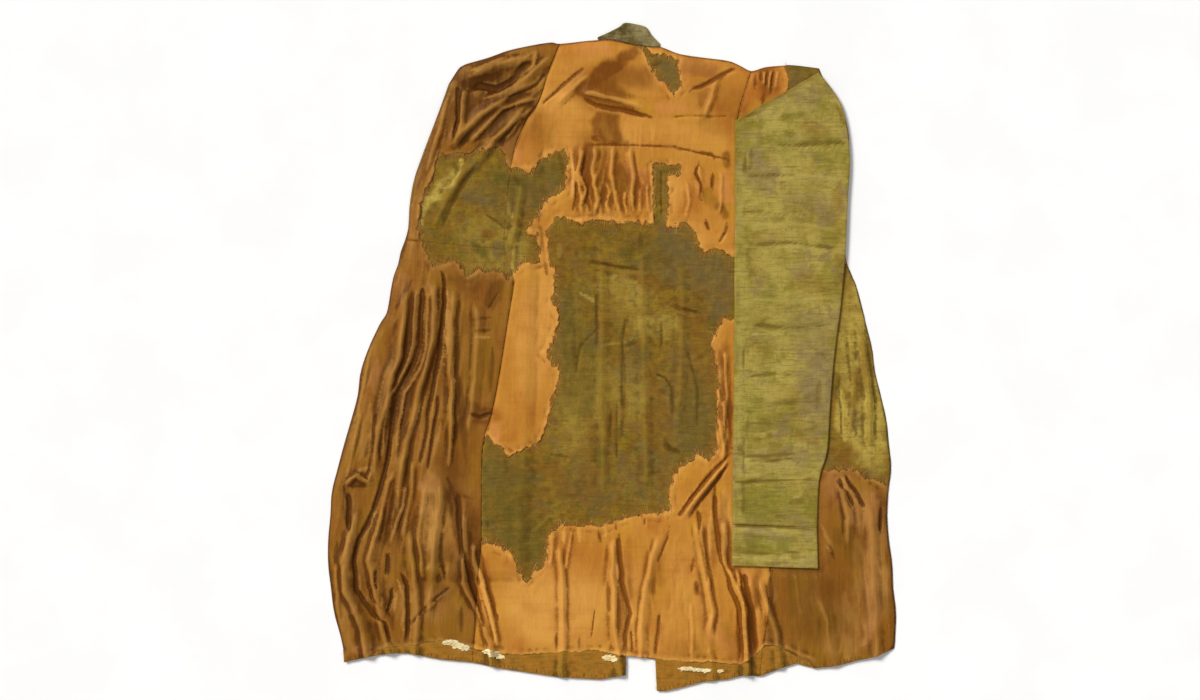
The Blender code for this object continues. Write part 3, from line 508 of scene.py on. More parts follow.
# Where each look is stronger: middle, half width, half height, turn in degrees, and share
ZONES = {
    # darker stains and tones, and painted shade in troughs and in the left sleeve's pocket
    "silk_dark": [
        (-20, 505, 62, 44, 8, 0.75), (-12, 345, 26, 70, 0, 0.45), (35, 320, 30, 44, 20, 0.4),
        (-48, 350, 14, 60, 0, 0.35), (-380, -20, 34, 110, -12, 0.6), (-418, -110, 26, 90, -12, 0.5),
        (-345, 20, 20, 110, -4, 0.45), (-300, -230, 34, 80, 0, 0.4), (-270, -350, 26, 90, -6, 0.55),
        (-495, -290, 16, 50, 0, 0.6), (-480, -420, 18, 80, 6, 0.5), (-210, 505, 46, 22, -20, 0.75),
        (-292, 470, 12, 50, 0, 0.5), (-240, 440, 60, 16, 36, 0.35), (397, -459, 74, 84, 0, 0.3),
        (444, -343, 40, 30, 0, 0.25), (499, -462, 20, 36, 0, 0.3), (262, -480, 12, 90, -8, 0.75),
        (196, -330, 14, 80, -6, 0.5), (24, -450, 16, 90, 0, 0.6), (150, -550, 60, 30, 0, 0.25),
        (225, -540, 22, 60, 0, 0.45), (85, -400, 16, 40, 12, 0.3), (190, 470, 60, 16, 0, 0.2),
        (175, 455, 14, 16, 0, 0.4), (-248, -110, 36, 16, 0, 0.4), (-255, 60, 50, 20, 0, 0.2),
        (502, -290, 10, 50, 0, 0.5), (300, -500, 30, 60, 0, 0.15), (-260, 135, 60, 18, 0, 0.3),
        (-450, 80, 20, 60, -10, 0.3), (205, -80, 12, 90, 0, 0.5), (-320, -440, 20, 20, 0, 0.3),
        (-330, -365, 60, 22, 0, 0.35), (200, 480, 70, 34, -20, 0.35), (20, 520, 70, 26, 0, 0.65),
        (160, 540, 60, 20, -10, 0.45), (206, -60, 14, 110, 0, 0.75), (-260, 500, 100, 50, -25, 0.65),
        (-180, 430, 40, 60, -20, 0.35), (290, 520, 26, 40, 0, 0.65), (-20, 400, 60, 30, 0, 0.35),
    ],
    # lighter tones, and painted highlights on the crests of folds
    "silk_light": [
        (-140, 45, 44, 150, -6, 0.55), (-100, 470, 60, 60, 0, 0.4), (60, 425, 130, 22, 0, 0.35),
        (-100, -480, 120, 80, 0, 0.5), (-330, -300, 30, 90, 0, 0.65), (-300, 60, 30, 60, 0, 0.25),
        (110, 300, 40, 40, 0, 0.4), (150, 230, 40, 40, 0, 0.3), (-350, -470, 60, 40, 0, 0.35),
        (-470, -60, 20, 120, -10, 0.35), (-280, 440, 40, 30, 0, 0.35), (150, -440, 50, 70, 0, 0.3),
        (212, -310, 10, 70, 0, 0.6), (500, -400, 20, 110, 0, 0.75), (445, -540, 60, 24, 0, 0.4),
        (290, -450, 12, 50, 0, 0.5), (60, 520, 30, 40, 0, 0.2), (350, -260, 40, 60, 0, 0.35),
        (-90, 400, 30, 50, 0, 0.3), (-495, -480, 12, 90, 0, 0.4), (-110, -470, 120, 80, 0, 0.7),
        (40, -460, 40, 90, 0, 0.4), (140, -500, 60, 70, 0, 0.35), (470, -290, 40, 60, 0, 0.4),
        (-80, 480, 60, 70, 0, 0.3), (170, 400, 60, 40, 0, 0.25),
    ],
    "silk_red": [
        (-326, 330, 26, 130, -14, 0.5), (-394, 60, 24, 120, -8, 0.4), (-248, -110, 40, 26, 0, 0.7),
        (-262, -400, 16, 90, -6, 0.7), (290, 510, 40, 40, 0, 0.9), (60, 310, 24, 40, 0, 0.6),
        (496, -330, 22, 90, 0, 0.6), (-20, 530, 50, 30, 0, 0.35), (-60, -390, 160, 40, 0, 0.35),
        (230, 440, 40, 50, 0, 0.4), (-130, 5, 30, 40, 0, 0.35), (252, -540, 22, 50, 0, 0.6),
        (440, -200, 50, 30, 0, 0.3), (180, 520, 60, 30, 0, 0.35), (-90, 570, 60, 20, 0, 0.25),
        (-150, 400, 26, 70, -20, 0.35),
    ],
    "cloth_yellow": [
        (-220, 215, 80, 60, 0, 0.2), (480, 60, 60, 170, -6, 1), (480, -130, 50, 90, 0, 0.9),
        (-240, 160, 60, 34, 0, 0.25), (20, 120, 60, 50, 0, 0.35), (-60, -90, 60, 120, 0, 0.3),
        (30, -70, 50, 60, 0, 0.3), (-180, 200, 18, 60, 0, 0.3), (80, 60, 60, 26, 0, 0.35),
    ],
    "cloth_grey": [
        (110, 290, 16, 60, 0, 0.9), (190, 150, 60, 60, 0, 0.8), (120, 175, 60, 40, 0, 0.6),
        (-150, 310, 70, 50, 0, 0.6), (140, -100, 60, 110, 0, 0.55), (40, -20, 40, 60, 0, 0.4),
        (110, 545, 30, 40, 0, 0.7), (-220, -220, 60, 40, 0, 0.4), (60, -220, 70, 50, 0, 0.35),
        (-90, 60, 26, 90, 0, 0.4), (360, 540, 40, 20, 0, 0.4), (-40, -250, 70, 40, 0, 0.4),
    ],
    "cloth_brown": [
        (-110, 190, 50, 60, 0, 0.6), (60, 148, 40, 12, 0, 0.9), (170, 70, 24, 18, 0, 0.9),
        (-80, -30, 50, 70, 0, 0.35), (-180, -290, 60, 60, 0, 0.45), (150, -30, 50, 60, 0, 0.55),
        (-200, 130, 50, 30, 0, 0.8), (0, -130, 16, 40, 0, 0.7), (470, -30, 16, 90, -10, 0.7),
        (500, 20, 12, 70, -10, 0.6), (20, -560, 60, 24, 0, 0.8), (300, -585, 60, 20, 0, 0.8),
        (150, -590, 110, 22, 0, 0.9), (-300, -566, 200, 14, 4, 0.5), (110, -230, 40, 30, 0, 0.4),
        (430, -190, 30, 30, 0, 0.8),
    ],
    "cloth_green": [
        (-220, -250, 80, 90, 0, 0.6), (-170, -340, 60, 60, 0, 0.7), (60, 200, 60, 30, 0, 0.4),
        (-60, -10, 40, 110, 0, 0.5), (-190, 330, 60, 40, 0, 0.5), (360, 550, 50, 16, 0, 0.9),
        (-130, 350, 50, 30, 0, 0.6), (150, -120, 30, 90, 0, 0.5), (100, 350, 30, 8, 0, 0.9),
    ],
    "sleeve_grey": [
        (275, 345, 40, 34, 0, 0.8), (372, 290, 60, 20, 0, 0.6), (390, -40, 40, 110, 0, 0.9),
        (340, -190, 60, 24, 0, 0.6), (290, -340, 60, 16, 0, 0.8), (300, -290, 60, 20, 0, 0.5),
        (370, 480, 34, 30, 0, 0.7), (370, 60, 60, 30, 0, 0.5), (350, -380, 50, 12, 0, 0.5),
        (290, -130, 50, 16, 0, 0.35),
    ],
    "sleeve_green": [
        (300, 400, 70, 24, 0, 0.5), (400, 390, 50, 30, 0, 0.7), (240, 120, 16, 200, 0, 0.6),
        (280, -270, 70, 44, 0, 0.9), (290, -352, 70, 16, 0, 0.8), (260, -110, 50, 70, 0, 0.5),
        (380, -290, 40, 40, 0, 0.6), (300, 80, 70, 60, 0, 0.3), (330, 530, 60, 16, 0, 0.5),
    ],
    # lighter patches, and painted highlights along some of the sleeve's ridges
    "sleeve_light": [
        (330, 300, 90, 60, 0, 0.3), (300, -60, 50, 20, 0, 0.5), (320, 200, 60, 60, 0, 0.4),
        (240, 0, 10, 420, 0, 0.6), (300, -376, 80, 9, 0, 1), (300, -200, 70, 22, 0, 0.4),
        (300, -330, 80, 8, 0, 0.5), (330, -222, 80, 8, 0, 0.6), (330, 384, 70, 6, 0, 0.4),
        (245, 180, 8, 240, 0, 0.6),
    ],
}

# Clumps of padding at the hem: middle, half width, half height, and number of fibres
WADDING = rows(Clump, [
    (-302, -535, 14, 4, 110), (-286, -541, 12, 4, 80), (-277, -545, 8, 5, 60), (-232, -552, 9, 3, 60),
    (-218, -557, 10, 4, 90), (-208, -562, 7, 3, 40), (-8, -563, 7, 5, 60), (2, -565, 6, 5, 60),
    (140, -584, 14, 2.5, 70), (160, -586, 9, 2, 40), (176, -587, 8, 2.5, 50), (204, -588, 5, 2, 20),
])


# Stains and tones, painted shade in creases and under edges, and painted highlights on ridges, that run
# along a line: half width, share, and the line
STROKES = {
    "silk_dark": [
        # the brown stain below the neck, painted shade in the crease under it, the blots that run down from
        # it, and painted shade between the gathers
        (14, 0.8, [(40, 572), (18, 558)]), (23, 1, [(6, 546), (-24, 518)]),
        (20, 0.9, [(-24, 514), (-54, 499)]),
        (9, 1, [(-52, 484), (-14, 470), (22, 465), (48, 455), (72, 448)]),
        (22, 0.6, [(-8, 462), (-14, 424)]), (14, 0.75, [(-28, 452), (-34, 436)]),
        (12, 0.85, [(-30, 424), (-20, 410)]), (15, 0.8, [(4, 452), (10, 410)]),
        (13, 0.75, [(10, 350), (30, 326)]), (9, 0.6, [(40, 326), (66, 314)]),
        (8, 0.9, [(-33, 410), (-22, 408)]), (9, 0.9, [(-2, 402), (6, 401)]),
        (6, 0.6, [(27, 402), (27, 388)]), (17, 0.85, [(-43, 388), (-48, 345), (-44, 324)]),
        (5, 0.6, [(-5, 393), (-9, 341)]), (5, 0.9, [(-35, 316), (-38, 296)]),
        (4, 0.9, [(-14, 321), (-13, 288)]), (5, 0.9, [(-33, 278), (-33, 262)]),
        (4, 0.7, [(2, 312), (1, 284)]), (4, 0.7, [(17, 300), (18, 272)]), (4, 0.6, [(36, 296), (37, 272)]),
        (4, 0.6, [(-58, 312), (-64, 290), (-66, 268)]), (3, 0.7, [(48, 316), (47, 286)]),
        (3, 0.7, [(58, 312), (60, 280)]),
        # towards the right shoulder, mostly painted shade in the creases
        (5.5, 0.9, [(226, 540), (206, 522), (168, 509), (146, 498)]), (7, 0.5, [(165, 490), (165, 474)]),
        (3, 0.7, [(56, 396), (113, 393), (151, 385)]), (4, 0.9, [(151, 385), (185, 379), (191, 366)]),
        (10, 0.75, [(213, 378), (214, 362)]), (4.5, 1, [(163, 366), (156, 343), (165, 321), (168, 291)]),
        (4, 0.85, [(186, 347), (190, 312)]), (9, 0.6, [(200, 282), (211, 266)]),
        (4, 0.8, [(174, 258), (182, 236)]), (4, 0.9, [(216, 252), (209, 230)]),
        (4, 0.9, [(-112, 491), (-78, 520), (-52, 540)]), (4, 0.9, [(-131, 284), (-137, 256)]),
        (4, 0.9, [(-135, 240), (-133, 204)]), (4, 0.8, [(-124, 180), (-121, 152)]),
        # the head of the sleeve on the back: a painted shadow along the sleeve's edge, and painted shade in
        # the puckers
        (4, 1, [(236, 442), (259, 452), (291, 467), (322, 480), (347, 497)]),
        (4, 1, [(268, 528), (267, 502)]), (5, 0.8, [(285, 508), (284, 470)]),
        (4, 0.8, [(298, 518), (296, 494)]), (3, 0.8, [(255, 534), (300, 537)]),
        # the head of the sleeve folded under: a broad darker tone, and painted shade in its pocket and
        # creases
        (44, 0.5, [(-170, 540), (-260, 500), (-310, 440)]),
        (17, 1.2, [(-206, 526), (-250, 513), (-286, 502), (-292, 488)]),
        (12, 1.2, [(-176, 524), (-206, 504), (-240, 500), (-262, 506)]),
        (8, 0.8, [(-150, 556), (-186, 534)]), (5, 1, [(-291, 486), (-292, 440), (-300, 408)]),
        (6, 0.7, [(-127, 506), (-160, 470), (-196, 424)]),
        (5, 0.7, [(-172, 490), (-206, 452), (-236, 412)]), (6, 0.7, [(-118, 546), (-136, 520)]),
        (10, 0.5, [(-330, 426), (-356, 350), (-376, 290)]), (4, 0.9, [(-384, 262), (-389, 232)]),
        # the left gore: the broad brown fold, and painted shade in the sharp creases down to the hem
        (27, 0.7, [(-366, 112), (-367, 40), (-376, -17), (-391, -66), (-401, -115), (-423, -170)]),
        (4.5, 1, [(-357, 112), (-366, 34), (-381, -24), (-401, -66), (-413, -115), (-420, -191),
            (-428, -232), (-441, -270), (-462, -315), (-479, -357), (-484, -399), (-480, -436),
            (-459, -458), (-434, -492), (-420, -517), (-409, -548)]),
        (3.5, 0.8, [(-484, -380), (-483, -430), (-462, -456), (-436, -488)]),
        (4, 1, [(-320, 168), (-314, 142), (-317, 93), (-322, 32), (-327, -17), (-335, -66), (-344, -110)]),
        (9, 0.55, [(-287, -30), (-281, -103), (-274, -196)]), (3, 0.9, [(-342, -66), (-345, -118)]),
        (4, 0.9, [(-327, -91), (-335, -140), (-343, -200)]), (6, 0.7, [(-380, -124), (-392, -158)]),
        (4, 0.8, [(-442, -72), (-445, -126)]), (5, 0.7, [(-376, 142), (-391, 116), (-402, 92)]),
        (4, 0.6, [(-268, 70), (-226, 74)]), (3, 0.5, [(-260, 50), (-226, 52)]),
        (14, 0.5, [(-218, 132), (-224, 104)]), (5, 0.6, [(-224, 20), (-227, -62)]),
        (13, 0.5, [(-262, -94), (-236, -104)]), (4, 0.8, [(-248, -112), (-222, -104)]),
        (8, 1, [(-500, -240), (-500, -280), (-497, -322)]),
        (4, 0.9, [(-506, -233), (-484, -241), (-465, -240), (-452, -224)]),
        (5, 0.8, [(-515, -345), (-521, -390)]), (5, 0.9, [(-406, -236), (-415, -287), (-426, -335)]),
        (3.5, 0.9, [(-392, -246), (-398, -287), (-406, -322)]), (5, 1, [(-416, -368), (-420, -410)]),
        (5, 1, [(-440, -405), (-443, -443)]), (5, 1, [(-411, -434), (-423, -466), (-416, -488)]),
        (5.5, 1, [(-396, -404), (-385, -441), (-382, -484), (-386, -540)]),
        (13, 0.85, [(-306, -226), (-297, -287), (-285, -343), (-275, -399)]),
        (8, 1, [(-263, -427), (-251, -470), (-235, -526), (-226, -556)]),
        (5, 0.9, [(-249, -343), (-240, -385), (-232, -427), (-214, -492)]),
        (4, 0.8, [(-320, -368), (-313, -416)]), (3, 0.7, [(-301, -428), (-325, -458), (-376, -501)]),
        (4, 0.7, [(-283, -466), (-282, -516)]), (5, 0.6, [(-300, -250), (-262, -268)]),
        (7, 0.6, [(-470, -500), (-480, -540)]), (3, 0.8, [(-506, 8), (-478, 40)]),
        (4, 0.7, [(-470, 30), (-478, -20)]), (4, 0.6, [(-298, 100), (-294, 20), (-300, -20)]),
        # the bottom right of the back, mostly painted shade in the creases
        (4, 1, [(222, -180), (177, -224), (124, -296)]), (4, 1, [(217, -199), (182, -240), (146, -281)]),
        (6, 0.9, [(167, -290), (169, -342), (177, -389), (186, -428)]),
        (7, 0.9, [(192, -225), (192, -280), (202, -330), (214, -373), (228, -411)]),
        (8, 0.9, [(239, -401), (252, -436), (261, -482), (267, -529), (267, -572)]),
        (4, 0.9, [(236, -478), (236, -566)]), (5, 0.8, [(298, -400), (298, -451), (292, -500)]),
        (6, 0.75, [(158, -424), (159, -440)]), (4, 0.8, [(87, -480), (88, -532)]),
        (8, 0.5, [(72, -420), (76, -440)]), (4, 0.7, [(152, -376), (151, -398)]),
        (3, 0.6, [(108, -316), (94, -370)]), (6, 0.8, [(14, -332), (16, -420), (28, -484), (24, -560)]),
        (3.5, 0.8, [(-26, -322), (-20, -350)]), (3, 0.7, [(-104, -516), (-104, -550)]),
        (3, 0.7, [(-62, -524), (-62, -552)]), (3, 0.6, [(-84, -530), (-84, -552)]),
        (4, 1, [(206, 0), (208, -110), (211, -176)]), (4, 0.9, [(222, -30), (221, -120), (224, -170)]),
        (3, 0.7, [(195, -40), (198, -120)]), (4, 0.8, [(-100, -330), (-106, -362)]),
        (4, 0.8, [(-78, -316), (-76, -350)]), (3, 0.8, [(6, -300), (8, -326)]),
        # the right gore: broad darker tones, and painted shade in its creases
        (52, 0.32, [(366, -410), (388, -500)]), (24, 0.3, [(430, -340), (452, -372)]),
        (5, 0.9, [(502, -272), (503, -330)]), (3.5, 0.9, [(420, -228), (434, -254), (446, -284)]),
        (3.5, 0.9, [(436, -224), (452, -250), (471, -288)]), (6, 0.8, [(500, -198), (505, -226)]),
        (4, 0.9, [(318, -548), (350, -566), (380, -582)]), (4, 0.7, [(404, -352), (416, -378)]),
    ],
    # Mostly painted highlights along the crests of folds and creases, with some lighter patches
    "silk_light": [
        (7, 0.8, [(-71, 378), (-70, 293)]), (4, 0.8, [(-22, 344), (-22, 270)]),
        (4, 0.6, [(-51, 352), (-50, 338)]), (5, 0.7, [(-98, 500), (-70, 528)]),
        (2.5, 1, [(-372, 104), (-376, 20), (-392, -34), (-409, -78), (-420, -120)]),
        (2.5, 1, [(-349, 104), (-358, 8), (-368, -24), (-390, -75), (-405, -122)]),
        (6, 0.7, [(-386, 74), (-402, 12), (-416, -22), (-430, -73), (-438, -120)]),
        (6, 0.8, [(-329, 124), (-330, 74)]), (5, 1, [(-307, 122), (-310, 20), (-317, -40)]),
        (3.5, 0.9, [(-299, -8), (-293, -56), (-289, -130)]),
        (9, 0.85, [(-352, -76), (-362, -112), (-372, -142)]),
        (4, 0.8, [(-320, -120), (-328, -160), (-334, -192)]), (5, 0.6, [(-304, -64), (-306, -130)]),
        (13, 0.45, [(-452, -90), (-458, -140), (-470, -190)]), (3, 0.9, [(-260, 37), (-226, 38)]),
        (4, 0.9, [(-500, -222), (-474, -214), (-452, -204), (-446, -216)]),
        (9, 0.8, [(-480, -290), (-494, -365), (-502, -405)]),
        (3, 1, [(-398, -238), (-406, -287), (-415, -322)]),
        (3, 1, [(-386, -240), (-389, -295), (-398, -340)]),
        (4, 0.8, [(-442, -270), (-448, -330), (-455, -380)]), (3, 1, [(-426, -424), (-432, -470)]),
        (4, 0.9, [(-401, -418), (-392, -450), (-391, -514)]), (3, 1, [(-404, -440), (-408, -480)]),
        (22, 0.75, [(-336, -220), (-342, -270), (-334, -320), (-344, -390)]),
        (5, 1, [(-263, -350), (-249, -408), (-229, -484), (-214, -540)]),
        (5, 0.8, [(-287, -345), (-287, -415)]), (7, 0.6, [(-496, -400), (-500, -446)]),
        (4, 1, [(199, -202), (166, -236), (133, -275)]), (4, 1, [(186, -289), (183, -330), (184, -375)]),
        (5, 0.9, [(208, -246), (208, -312), (222, -372)]), (8, 0.7, [(270, -416), (276, -500)]),
        (2.5, 1, [(245, -440), (246, -500), (250, -586)]),
        (3, 0.9, [(428, -226), (444, -256), (460, -288)]),
        (5, 0.6, [(390, -314), (404, -340), (414, -362)]),
        (16, 0.4, [(452, -330), (466, -390), (456, -470)]),
        (20, 0.35, [(470, -250), (488, -370), (472, -560)]),
        (17, 0.5, [(440, -450), (452, -510), (446, -570)]), (3, 0.9, [(214, -10), (214, -90), (216, -150)]),
        (3, 0.8, [(200, -30), (202, -110)]), (4, 0.8, [(-150, 572), (-176, 552), (-212, 540)]),
        (4, 0.8, [(-178, 508), (-222, 478), (-250, 446)]),
        (3, 0.8, [(-145, 492), (-184, 446), (-214, 404)]), (4, 0.7, [(-278, 486), (-280, 450)]),
        (5, 0.8, [(6, -340), (6, -430), (16, -480), (14, -550)]), (4, 0.8, [(-90, -322), (-90, -352)]),
        (4, 0.8, [(-62, -314), (-62, -346)]), (4, 0.8, [(-14, -312), (-12, -336)]),
    ],
    "silk_pink": [
        (20, 0.6, [(-50, 572), (-10, 584)]), (17, 0.6, [(130, 540), (196, 536)]),
        (18, 0.8, [(36, 340), (72, 330)]), (12, 0.5, [(86, 466), (130, 470)]),
        (14, 0.55, [(-440, -10), (-442, -70)]), (12, 0.5, [(-391, 150), (-394, 132)]),
        (18, 0.8, [(-342, -240), (-344, -290)]), (18, 0.85, [(488, -256), (490, -340)]),
        (22, 0.7, [(484, -330), (492, -420), (482, -540)]), (26, 0.5, [(420, -224), (470, -300)]),
        (24, 0.5, [(190, -500), (206, -540)]), (9, 0.8, [(252, -410), (256, -424)]),
        (14, 0.8, [(-150, -346), (-120, -380)]), (9, 0.9, [(-222, -130), (-218, -150)]),
        (14, 0.6, [(-470, -540), (-440, -548)]), (9, 0.8, [(-180, 384), (-176, 368)]),
        (9, 0.8, [(-362, 360), (-374, 316)]), (7, 0.9, [(279, 520), (281, 496)]),
        (7, 0.9, [(292, 530), (292, 506)]), (12, 0.6, [(214, 340), (216, 300)]),
        (12, 0.5, [(-176, 420), (-206, 380)]), (8, 0.7, [(-76, 340), (-76, 300)]),
    ],
    "silk_tan": [
        (20, 0.6, [(-16, 500), (10, 492)]), (18, 0.65, [(-12, 458), (-12, 414)]),
        (13, 0.75, [(-12, 336), (12, 320), (42, 310)]), (20, 0.5, [(176, 432), (212, 424)]),
        (14, 0.7, [(-292, 120), (-290, 40), (-296, -20)]), (26, 0.7, [(-246, 30), (-250, -40)]),
        (18, 0.6, [(-290, -440), (-300, -500)]), (20, 0.8, [(-380, -386), (-358, -388)]),
        (16, 0.6, [(-340, -340), (-336, -400)]), (14, 0.6, [(-420, 60), (-446, 10)]),
        (12, 0.7, [(-470, -100), (-492, -170)]), (26, 0.4, [(340, -560), (420, -570)]),
        (40, 0.35, [(364, -420), (384, -520)]), (26, 0.5, [(424, -340), (452, -372)]),
        (14, 0.5, [(-330, -510), (-290, -530)]), (24, 0.5, [(-130, 440), (-130, 410)]),
        (16, 0.6, [(186, 310), (192, 280)]), (20, 0.5, [(-290, 400), (-330, 340)]),
    ],
    "silk_red": [
        (20, 0.7, [(-368, 60), (-384, -60), (-398, -110)]), (12, 0.7, [(-414, -240), (-430, -300)]),
        (6, 0.8, [(-236, -376), (-226, -420)]), (14, 0.6, [(16, 548), (-10, 520)]),
        (8, 0.7, [(60, 306), (72, 296)]), (16, 0.9, [(240, 470), (266, 500)]),
    ],
    # Yellow stains, and painted highlights along a few of the cloth's ridges, the first over the shoulder's
    # loss
    "cloth_yellow": [
        (17, 1, [(-280, 366), (-319, 323), (-345, 291), (-358, 256)]), (3, 0.9, [(-185, 212), (-185, 150)]),
        (12, 0.5, [(50, 68), (72, 68)]), (8, 0.5, [(6, 150), (6, 140)]),
        (14, 0.9, [(424, -60), (434, -160)]), (6, 0.6, [(-98, 214), (-100, 186)]),
        (4, 0.7, [(-170, 196), (-168, 160)]), (6, 0.5, [(-196, 290), (-186, 262)]),
        (3, 0.4, [(-34, 14), (-10, 24), (14, 25), (44, 36)]), (4, 0.6, [(-60, 120), (-20, 96)]),
        (12, 0.9, [(468, 150), (480, 60), (500, -20)]), (12, 0.6, [(496, -60), (508, -150)]),
    ],
    "cloth_grey": [
        (20, 0.9, [(-262, 300), (-232, 288)]), (12, 0.9, [(-215, 206), (-213, 192)]),
        (26, 0.95, [(100, 222), (124, 206)]), (12, 1, [(110, 340), (111, 250)]),
        (32, 0.8, [(190, 180), (194, 100)]), (26, 0.7, [(130, 0), (146, -40)]),
        (7, 0.9, [(452, -90), (456, -146)]), (5, 0.9, [(28, 178), (62, 176)]),
        (14, 0.8, [(340, 516), (362, 512)]), (14, 0.6, [(-30, 60), (-34, 20)]),
        (16, 0.6, [(60, -170), (90, -200)]), (14, 0.6, [(-190, -240), (-150, -230)]),
        (9, 0.8, [(86, 556), (100, 540)]), (10, 0.9, [(120, 510), (128, 496)]),
        (14, 0.6, [(-130, 320), (-110, 330)]), (16, 0.5, [(-60, -200), (-30, -230)]),
    ],
    "cloth_brown": [
        (28, 0.6, [(74, -20), (84, -100), (76, -180)]), (24, 0.55, [(-40, -110), (-34, -190), (-44, -270)]),
        (20, 0.5, [(-10, 130), (-14, 40)]), (26, 0.55, [(140, 100), (160, 20)]),
        (22, 0.6, [(-130, -200), (-90, -250)]), (9, 1, [(54, 142), (84, 138)]),
        (9, 0.9, [(162, 72), (162, 58)]), (10, 1, [(-236, 232), (-226, 228)]),
        (12, 0.9, [(-284, 168), (-278, 154)]), (9, 0.8, [(-50, -24), (-48, -52)]),
        (5, 1, [(-106, 128), (-102, 76), (-104, 30)]), (5, 0.9, [(-90, 380), (-88, 300)]),
        (6, 0.9, [(186, 30), (184, -24), (190, -60)]), (7, 0.9, [(426, -176), (430, -190)]),
        (6, 0.8, [(-262, 366), (-278, 337), (-300, 306)]), (20, 0.6, [(-110, 196), (-70, 206)]),
        (16, 0.7, [(-180, -200), (-196, -230)]), (12, 0.6, [(-160, -300), (-140, -330)]),
        (12, 0.7, [(120, -240), (140, -270)]), (10, 0.6, [(20, -70), (24, -120)]),
        (14, 0.6, [(470, 20), (480, -30)]),
    ],
    "cloth_green": [
        (15, 0.7, [(-84, 130), (-80, 40), (-86, -60)]), (16, 0.6, [(-50, -60), (-46, -110)]),
        (13, 1, [(-212, 332), (-166, 330)]), (12, 1, [(188, 68), (188, 56)]),
        (13, 0.8, [(-50, 24), (-48, 8)]), (13, 0.8, [(-256, 206), (-244, 200)]),
        (5, 1, [(326, 540), (372, 538)]), (12, 0.8, [(160, -30), (164, -90)]),
        (18, 0.8, [(-200, -270), (-180, -300)]), (12, 0.7, [(-100, 330), (-96, 350)]),
        (14, 0.6, [(20, 200), (50, 210)]), (12, 0.7, [(-20, -160), (-24, -210)]),
        (10, 0.8, [(140, 560), (144, 530)]),
    ],
    # Painted shade in the cloth's creases, with a few dark marks
    "cloth_dark": [
        (3.5, 1, [(-40, 180), (0, 173), (28, 168), (50, 170)]),
        (4, 0.8, [(-27, 138), (-29, 80), (-27, 27)]), (4, 0.8, [(32, 76), (18, 36)]),
        (5, 0.8, [(23, 4), (20, -80), (18, -150)]), (3, 1, [(106, 99), (124, 90), (147, 87), (172, 82)]),
        (3, 0.9, [(76, -30), (99, -35), (112, -54)]), (4, 0.7, [(112, -54), (120, -116)]),
        (6, 0.8, [(52, 236), (52, 190)]), (7, 0.9, [(98, -152), (106, -170), (132, -180)]),
        (5, 0.7, [(-100, 392), (-92, 340)]), (4, 0.7, [(146, 124), (168, 104)]),
        (6, 0.6, [(-4, -100), (-6, -170)]), (5, 0.6, [(-70, 60), (-72, -20)]),
        (4, 0.6, [(92, 66), (92, 10)]), (6, 0.6, [(-200, -180), (-196, -220)]),
        (4, 0.7, [(-120, -180), (-80, -186)]), (4, 0.7, [(-90, -260), (-50, -256)]),
        (5, 0.6, [(40, -220), (90, -216)]), (4, 0.6, [(-60, 206), (-20, 200)]),
        (6, 0.5, [(-220, 256), (-190, 250)]), (5, 0.8, [(-186, 340), (-172, 322)]),
        (5, 0.7, [(96, 558), (70, 540)]), (4, 0.8, [(378, 534), (356, 506)]),
        (4, 0.6, [(440, 40), (448, -60)]), (4, 0.6, [(486, 60), (494, -20)]),
    ],
    "sleeve_grey": [
        (15, 1, [(266, 380), (272, 364)]), (6, 0.8, [(344, 336), (408, 331)]),
        (6, 0.9, [(312, -178), (350, -182)]), (16, 0.9, [(262, -322), (300, -330)]),
        (14, 0.7, [(360, -110), (384, -60)]), (10, 0.6, [(326, -300), (356, -310)]),
    ],
    "sleeve_green": [
        (9, 0.9, [(236, -358), (330, -362)]), (12, 0.8, [(360, -268), (364, -290)]),
        (10, 0.7, [(236, -260), (240, -300)]), (9, 0.7, [(310, 446), (384, 456)]),
        (9, 0.6, [(372, -190), (376, -216)]),
    ],
    # Lighter slubs, and painted highlights along some of the sleeve's ridges
    "sleeve_light": [
        (2.5, 0.9, [(350, 391), (428, 391)]), (2.5, 1, [(309, -227), (386, -225)]),
        (2.5, 0.9, [(246, -238), (302, -236)]), (5, 1, [(226, -376), (300, -374), (336, -368)]),
        (8, 0.8, [(286, 462), (316, 466)]), (5, 1, [(270, -147), (284, -148)]),
        (5, 0.9, [(298, -139), (306, -139)]), (3, 0.8, [(332, -263), (356, -263)]),
        (5, 0.7, [(356, 500), (368, 506)]), (3, 0.8, [(228, 262), (300, 265), (360, 262)]),
        (5, 0.6, [(300, 310), (340, 314)]), (4, 0.7, [(250, -322), (262, -322)]),
        (3, 0.8, [(250, 40), (330, 44)]), (3, 0.7, [(290, -20), (360, -16)]),
    ],
    # Brown tones; the first stroke is part of the painted shadow along the sleeve's top edge
    "sleeve_brown": [
        (8, 0.8, [(238, 442), (300, 479), (350, 511), (392, 535)]), (16, 0.6, [(366, 426), (398, 420)]),
        (12, 0.6, [(424, 330), (424, 250)]), (4, 0.7, [(232, -387), (330, -385)]),
        (12, 0.5, [(270, 230), (310, 226)]), (14, 0.5, [(360, 150), (390, 130)]),
        (14, 0.5, [(300, -60), (340, -70)]), (10, 0.5, [(270, 20), (290, 10)]),
        (12, 0.5, [(350, -150), (380, -160)]),
    ],
    # Painted shadow along the sleeve's top edge, then painted shade in its creases, with dark slubs across
    # it
    "sleeve_dark": [
        (4, 0.9, [(238, 444), (300, 481), (350, 513), (392, 537)]),
        (4.5, 0.8, [(334, 391), (352, 398), (376, 403), (406, 401), (440, 402)]),
        (4.5, 0.72, [(249, 384), (249, 336)]), (4.5, 0.72, [(249, 343), (284, 340), (318, 338)]),
        (5, 0.85, [(257, -194), (297, -192), (335, -189), (351, -198)]),
        (4.5, 0.8, [(318, -223), (347, -218), (378, -217)]),
